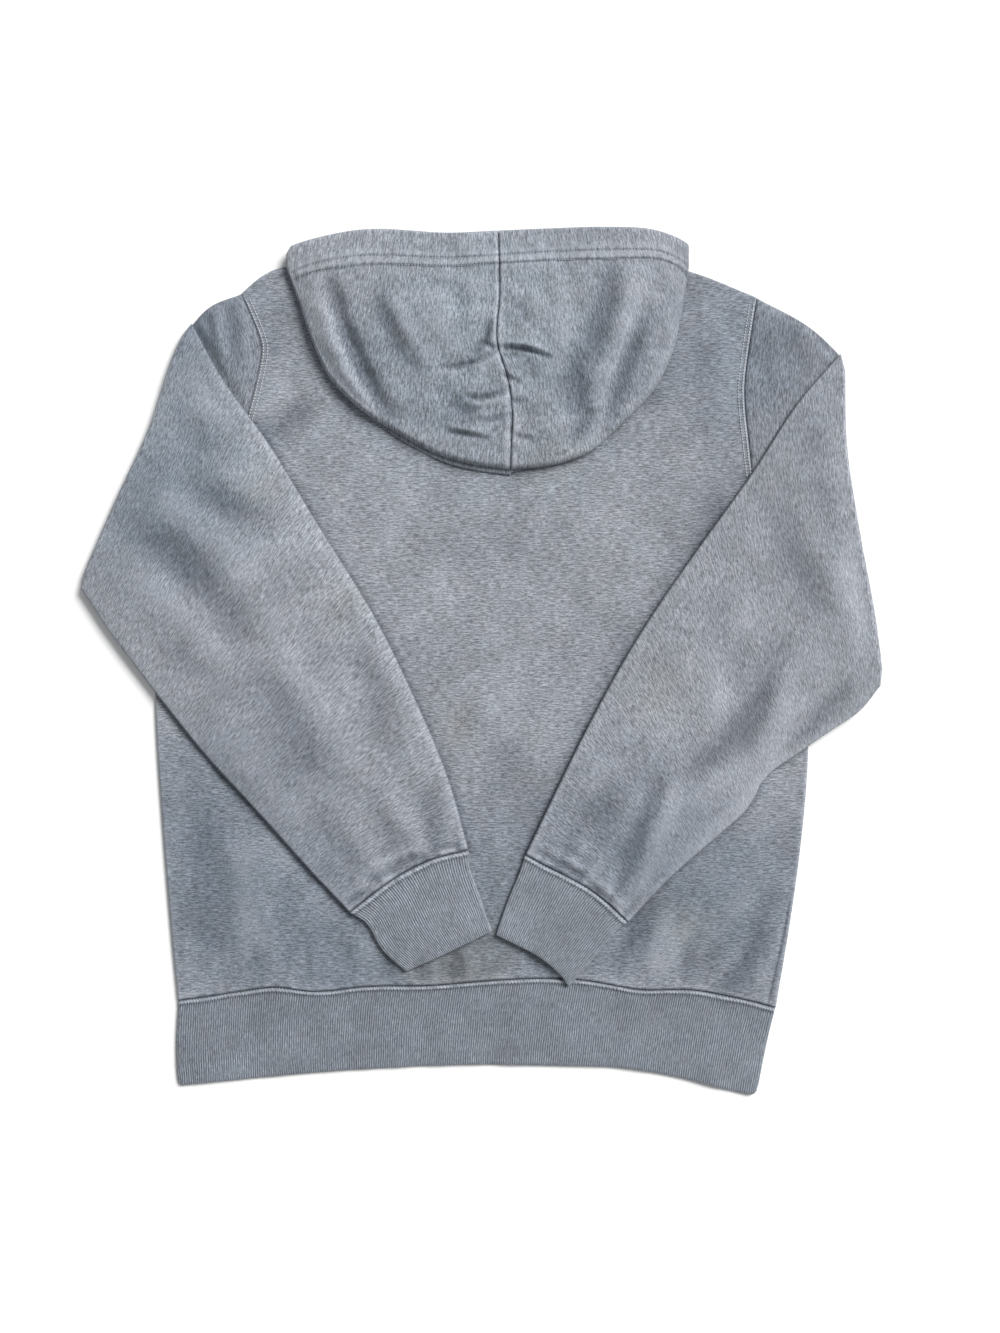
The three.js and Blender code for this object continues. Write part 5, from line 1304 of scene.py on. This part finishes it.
def hood_half(name, mouth, outline, side, seed):
    """Half of the hood as a wall: the fan, rounded at the mouth, the corner and the seam, and a lip
    that turns down in a quarter ellipse at the outline."""
    place = hood_place(mouth, outline, side * SEAM_GAP / 2)
    along = spread(HOOD_WIDE, 1.7, (0, 0.3, 0.6, 1.0, 1.5, 2.2))
    length = line_lengths(place, along)
    down = hood_rows(length, HEM_ROWS, LOWER_ROWS)
    along = along[None, :]
    at = place(along, down)
    x, y = at[..., 0], at[..., 1]
    mouth_y = place(along, 0 * along)[..., 1]
    below_mouth = np.maximum(mouth_y - y, down * length)
    to_seam = (1 - along) * HOOD_WIDE
    to_corner = along * HOOD_WIDE
    rounded = MOUTH_DROP * np.clip(1 - down * length / EDGE_DROP_LONG, 0, 1) ** 2
    rounded = rounded + CORNER_DROP * np.clip(1 - to_corner / EDGE_DROP_LONG, 0, 1) ** 2
    groove = SEAM_DEEP * np.clip(1 - to_seam / SEAM_HALF, 0, 1) ** 2
    lips = SEAM_LIP * bell(to_seam - 2.8, 1.5)
    ease = smooth(down * length / 12) * smooth((1 - down) * length / 20)
    crumple = 1 + CRUMPLED_NEAR_SEAM * bell(to_seam, CRUMPLED_HALF)
    soft = (HOOD_SOFT * lumps(x, y, 38, seed) + CRUMPLES * crumple * lumps(x, y, 16, seed + 1)) * ease
    rise = hood_rise(x, y, along, down)
    low = HOOD_TOP - CLOTH + rise
    top = low + CLOTH + hem_rise(x, below_mouth) + soft + lips - rounded - groove
    top = np.maximum(top, low + 0.6)
    angle = np.linspace(0, np.pi / 2, 9)[1:, None]
    outer_away = HOOD_LIP_ROOM * (1 - np.sin(angle))
    inner_away = HOOD_LIP_ROOM - (HOOD_LIP_ROOM - 1.8) * np.sin(angle)
    outer_lip = place(along, 1 - outer_away / length)
    inner_lip = place(along, 1 - inner_away / length)
    lift = body_rise(outer_lip[..., 0], outer_lip[..., 1])
    foot = SECOND_LAYER + HOOD_LIP + lift
    outer_z = foot + 1.0 + (top[-1:] - foot - 1.0) * np.cos(angle)
    inner_z = foot + (low[-1:] - foot) * np.cos(angle)
    outer = np.concatenate([np.dstack([at, top]), np.dstack([outer_lip, outer_z])])
    inner = np.concatenate([np.dstack([at, low]), np.dstack([inner_lip, inner_z])])
    all_down = np.concatenate([down, 1 - outer_away / length])
    grain = np.dstack([all_down * length, (along - 1) * HOOD_WIDE * side + 0 * all_down])
    # Pale worn lips beside the crown seam, and painted shade down in its groove.
    worn_and_shaded = SEAM_PALE * bell(to_seam - 2.2, 1.1) - SEAM_GROOVE_SHADE * smooth((0.9 - to_seam) / 0.7)
    worn_and_shaded = worn_and_shaded + hem_wear_and_shade(outer[..., 0], np.maximum(mouth_y - outer[..., 1], all_down * length))
    below_hem = smooth((mouth_y - outer[..., 1] - 24) / 8)
    folds = fold_height(HOOD_FOLDS, outer[..., 0], outer[..., 1])
    lumpy = np.concatenate([soft, np.zeros_like(outer_z)])
    # Painted shade and highlight of the hood's folds and soft lumps.
    worn_and_shaded = worn_and_shaded + painted_fold_shade(1.2 * below_hem * folds + 0.9 * lumpy)
    piece = wall(name, outer, inner, False, grain, worn_and_shaded, FLEECE)
    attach(piece, "root")
    return piece, place


left_hood, left_place = hood_half("left_hood", MOUTH_LEFT, OUTLINE_LEFT, -1, 61)
right_hood, right_place = hood_half("right_hood", MOUTH_RIGHT, OUTLINE_RIGHT, 1, 71)

# Both stitch lines of the mouth's hem, laid in their dents on each half.
MOUTH_SHOWN = (0.06, 0.985)
mouth_lines = []
for place in (left_place, right_place):
    along = np.linspace(*MOUTH_SHOWN, 160)
    length = line_lengths(place, along)
    start = place(along, 0 * along)
    for depth in stitch_depths(start[:, 0]):
        down = np.minimum(depth / length, 0.8)
        at = place(along, down)
        x, y = at[:, 0], at[:, 1]
        z = HOOD_TOP + hood_rise(x, y, along, down) + hem_rise(x, depth) + 0.1
        mouth_lines.append(np.stack([x, y, z], -1))
mouth_stitches = stitches("mouth_stitches", mouth_lines, 2.7, 2.0, 0.5, THREAD)
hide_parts("hood_left")
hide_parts("hood_right")

# The hidden layers of the same two halves: they come up from the front neckline, turn over the neck
# and lie under the layers that show. Their folded edge peeps out below the outline, near the seam.
# Painted shade: the layers lie under the hood, and the slivers of them that peep out beside it are darkened
# all over.
UNDER_HOOD_SHADE = 0.35
NECK_CLEAR = 0.9
TOP_CLEAR = 11.0

# How far the inner edge shows above the mouth, on the left of the seam, and between which x.
SLIVER = 2.6
SLIVER_LEFT = -114
SLIVER_RIGHT = -18

# How far the layers reach past the outline on the left and on the right, by the share along it.
PEEK = [(0.05, -2, -2), (0.5, -1, -2), (0.62, 3.4, -2), (0.8, 4.6, -2), (0.92, 4.6, -1.2), (1, 4.6, 3)]


def hood_layers(name):
    """A thick sheet from the front neckline round the mouth and down over the back, with a ledge a
    cloth thick all round its folded edge."""
    fan = spread(HOOD_WIDE, 3.4)[4:]
    along = np.concatenate([fan, fan[:-1][::-1]])[None, :]
    on_left = np.arange(along.size) < len(fan)
    places = (hood_place(MOUTH_LEFT, OUTLINE_LEFT, 0), hood_place(MOUTH_RIGHT, OUTLINE_RIGHT, 0))

    def place(down):
        down = down + 0 * along
        return np.where(on_left[None, :, None], places[0](along, down), places[1](along, down))

    first = place(np.array([[0.0]]))
    last = place(np.array([[1.0]]))
    length = np.hypot(*np.moveaxis(first - last, -1, 0))
    peek = np.array(PEEK, float)
    peek_left = np.interp(along, peek[:, 0], peek[:, 1])
    peek_right = np.interp(along, peek[:, 0], peek[:, 2])
    beyond = np.where(on_left, peek_left, peek_right)
    top = body_top(BACK_NECK)(np.linspace(0, 1, 400))
    neck_x = place(np.array([[0.06]]))[..., 0]
    neck_y = np.interp(neck_x, top[:, 0], top[:, 1])
    share = np.linspace(0.02, 0.98, along.size)[None, :]
    front_neck = curve(FRONT_NECK, share)
    back_neck = curve(BACK_NECK, share)

    def row(at, forward, z):
        return np.dstack([at + np.stack([0 * along, forward + 0 * along], -1), z + 0 * along])

    neck_line = np.stack([neck_x, neck_y], -1)
    rim_x = first[..., 0]
    sliver = SLIVER * smooth((rim_x - SLIVER_LEFT) / 25) * smooth((SLIVER_RIGHT - rim_x) / 30)
    outer = [
        row(front_neck, NECK_CLEAR, 0),
        row(back_neck, NECK_CLEAR, 0),
        row(first, -5, 0),
        row(first, sliver - 2, 1.2),
        row(first, sliver - 1, SECOND_LAYER),
    ]
    inner = [
        row(front_neck, NECK_CLEAR, CLOTH),
        row(back_neck, -NECK_CLEAR, CLOTH),
        row(back_neck, TOP_CLEAR, CLOTH),
        row(neck_line, TOP_CLEAR, FLAT_TUBE - 1),
        row(neck_line, TOP_CLEAR, SECOND_LAYER - 0.2),
    ]
    under_top = HOOD_TOP - CLOTH - 2 * SEAM_GAP
    down = hood_rows(length[0], np.array([1.2, 2.6, 8.0, 16.0, 24.0]), 36)
    at = place(down)
    rise = hood_rise(at[..., 0], at[..., 1], along, down)
    sunk = 1.4 * np.clip(1 - down * length / 3.0, 0, 1)
    outer.append(np.dstack([at, under_top + rise - sunk]))
    start = (first[..., 1] - neck_y) / (first[..., 1] - last[..., 1])
    stop = 1 - HOOD_LIP_ROOM / length
    begin = np.minimum(start + 0.02, stop - 0.1)
    at = place(begin + (stop - begin) * np.linspace(0, 1, down.shape[0])[:, None])
    inner.append(np.dstack([at, SECOND_LAYER + body_rise(at[..., 0], at[..., 1])]))
    ledge = SECOND_LAYER + HOOD_LIP - SEAM_GAP
    rim = (
        (4.4, 4.8, under_top - 0.4, 0),
        (3.4, 3.6, ledge, 0),
        (1.4, 1.5, ledge, 1),
        (0.5, 0.6, ledge - 0.4, 1),
        (0, 0.1, ledge - 1.0, 1),
    )
    for outer_away, inner_away, z, shown in rim:
        at = place(1 + (beyond * shown - outer_away) / length)
        lift = body_rise(at[..., 0], at[..., 1])
        outer.append(np.dstack([at, z + lift]))
        at = place(1 + (beyond * shown - inner_away) / length)
        inner.append(np.dstack([at, SECOND_LAYER + body_rise(at[..., 0], at[..., 1])]))
    outer = np.concatenate(outer)
    inner = np.concatenate(inner)
    grain = np.dstack([outer[..., 1], outer[..., 0]])
    piece = wall(name, outer, inner, False, grain, 0 * grain[..., 0] - UNDER_HOOD_SHADE, FLEECE)
    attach(piece, "root")
    return piece


layers = hood_layers("hood_layers")
# Painted shadow on the back beside the hood's outline.
for line in (OUTLINE_LEFT, OUTLINE_RIGHT):
    paint_shadow_beside(back_panel, line, 12, 0.20)
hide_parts("hood_under")

# The surface under the garment: a plain pale board that runs well out of view.
FLOOR_HALF = 4.0
FLOOR_BELOW = 0.0003
floor_mesh = bpy.data.meshes.new("floor")
floor_corners = [(x * FLOOR_HALF, y * FLOOR_HALF, 0) for x, y in ((-1, -1), (1, -1), (1, 1), (-1, 1))]
floor_mesh.from_pydata(floor_corners, [], [(0, 1, 2, 3)])
floor = bpy.data.objects.new("floor", floor_mesh)
bpy.context.scene.collection.objects.link(floor)
floor.location.z = -FLOOR_BELOW
floor_finish = bpy.data.materials.new("pale_board")
floor_finish.use_nodes = True
floor_shader = floor_finish.node_tree.nodes["Principled BSDF"]
floor_shader.inputs["Base Color"].default_value = (0.9, 0.9, 0.9, 1)
floor_shader.inputs["Roughness"].default_value = 0.9
floor_shader.inputs["Specular IOR Level"].default_value = 0.1
floor_mesh.materials.append(floor_finish)

# Soft studio light: a bright pale room, and a broad soft lamp far off above the upper right.
room = bpy.data.worlds.new("room")
room.use_nodes = True
room.node_tree.nodes["Background"].inputs["Color"].default_value = (0.96, 0.98, 1.0, 1)
room.node_tree.nodes["Background"].inputs["Strength"].default_value = 0.37
bpy.context.scene.world = room
LAMP_TURN = np.radians(42)
LAMP_TILT = np.radians(48)
lamp_data = bpy.data.lights.new("broad_lamp", "SUN")
lamp_data.angle = np.radians(32)
lamp_data.energy = 4.4
lamp_data.color = (1.0, 0.99, 0.975)
lamp = bpy.data.objects.new("broad_lamp", lamp_data)
bpy.context.scene.collection.objects.link(lamp)
lamp.location = (1.5, 1.35, 1.6)
lamp.rotation_euler = (LAMP_TILT, 0, np.pi / 2 + LAMP_TURN)

# Camera: straight above the garment, its frame 1.149 metres high at the cloth's height, with the top
# of the frame at the neck end.
FRAME_HIGH = 1.149
FRAME_AT = (0.0162, -0.0036, 0.006)
SENSOR = 36.0
LENS = 50.0
camera_data = bpy.data.cameras.new("camera")
camera_data.lens = LENS
camera_data.sensor_width = SENSOR
camera = bpy.data.objects.new("camera", camera_data)
bpy.context.scene.collection.objects.link(camera)
camera.location = (FRAME_AT[0], FRAME_AT[1], FRAME_AT[2] + FRAME_HIGH * LENS / SENSOR)
bpy.context.scene.camera = camera
bpy.context.scene.view_settings.view_transform = "Standard"
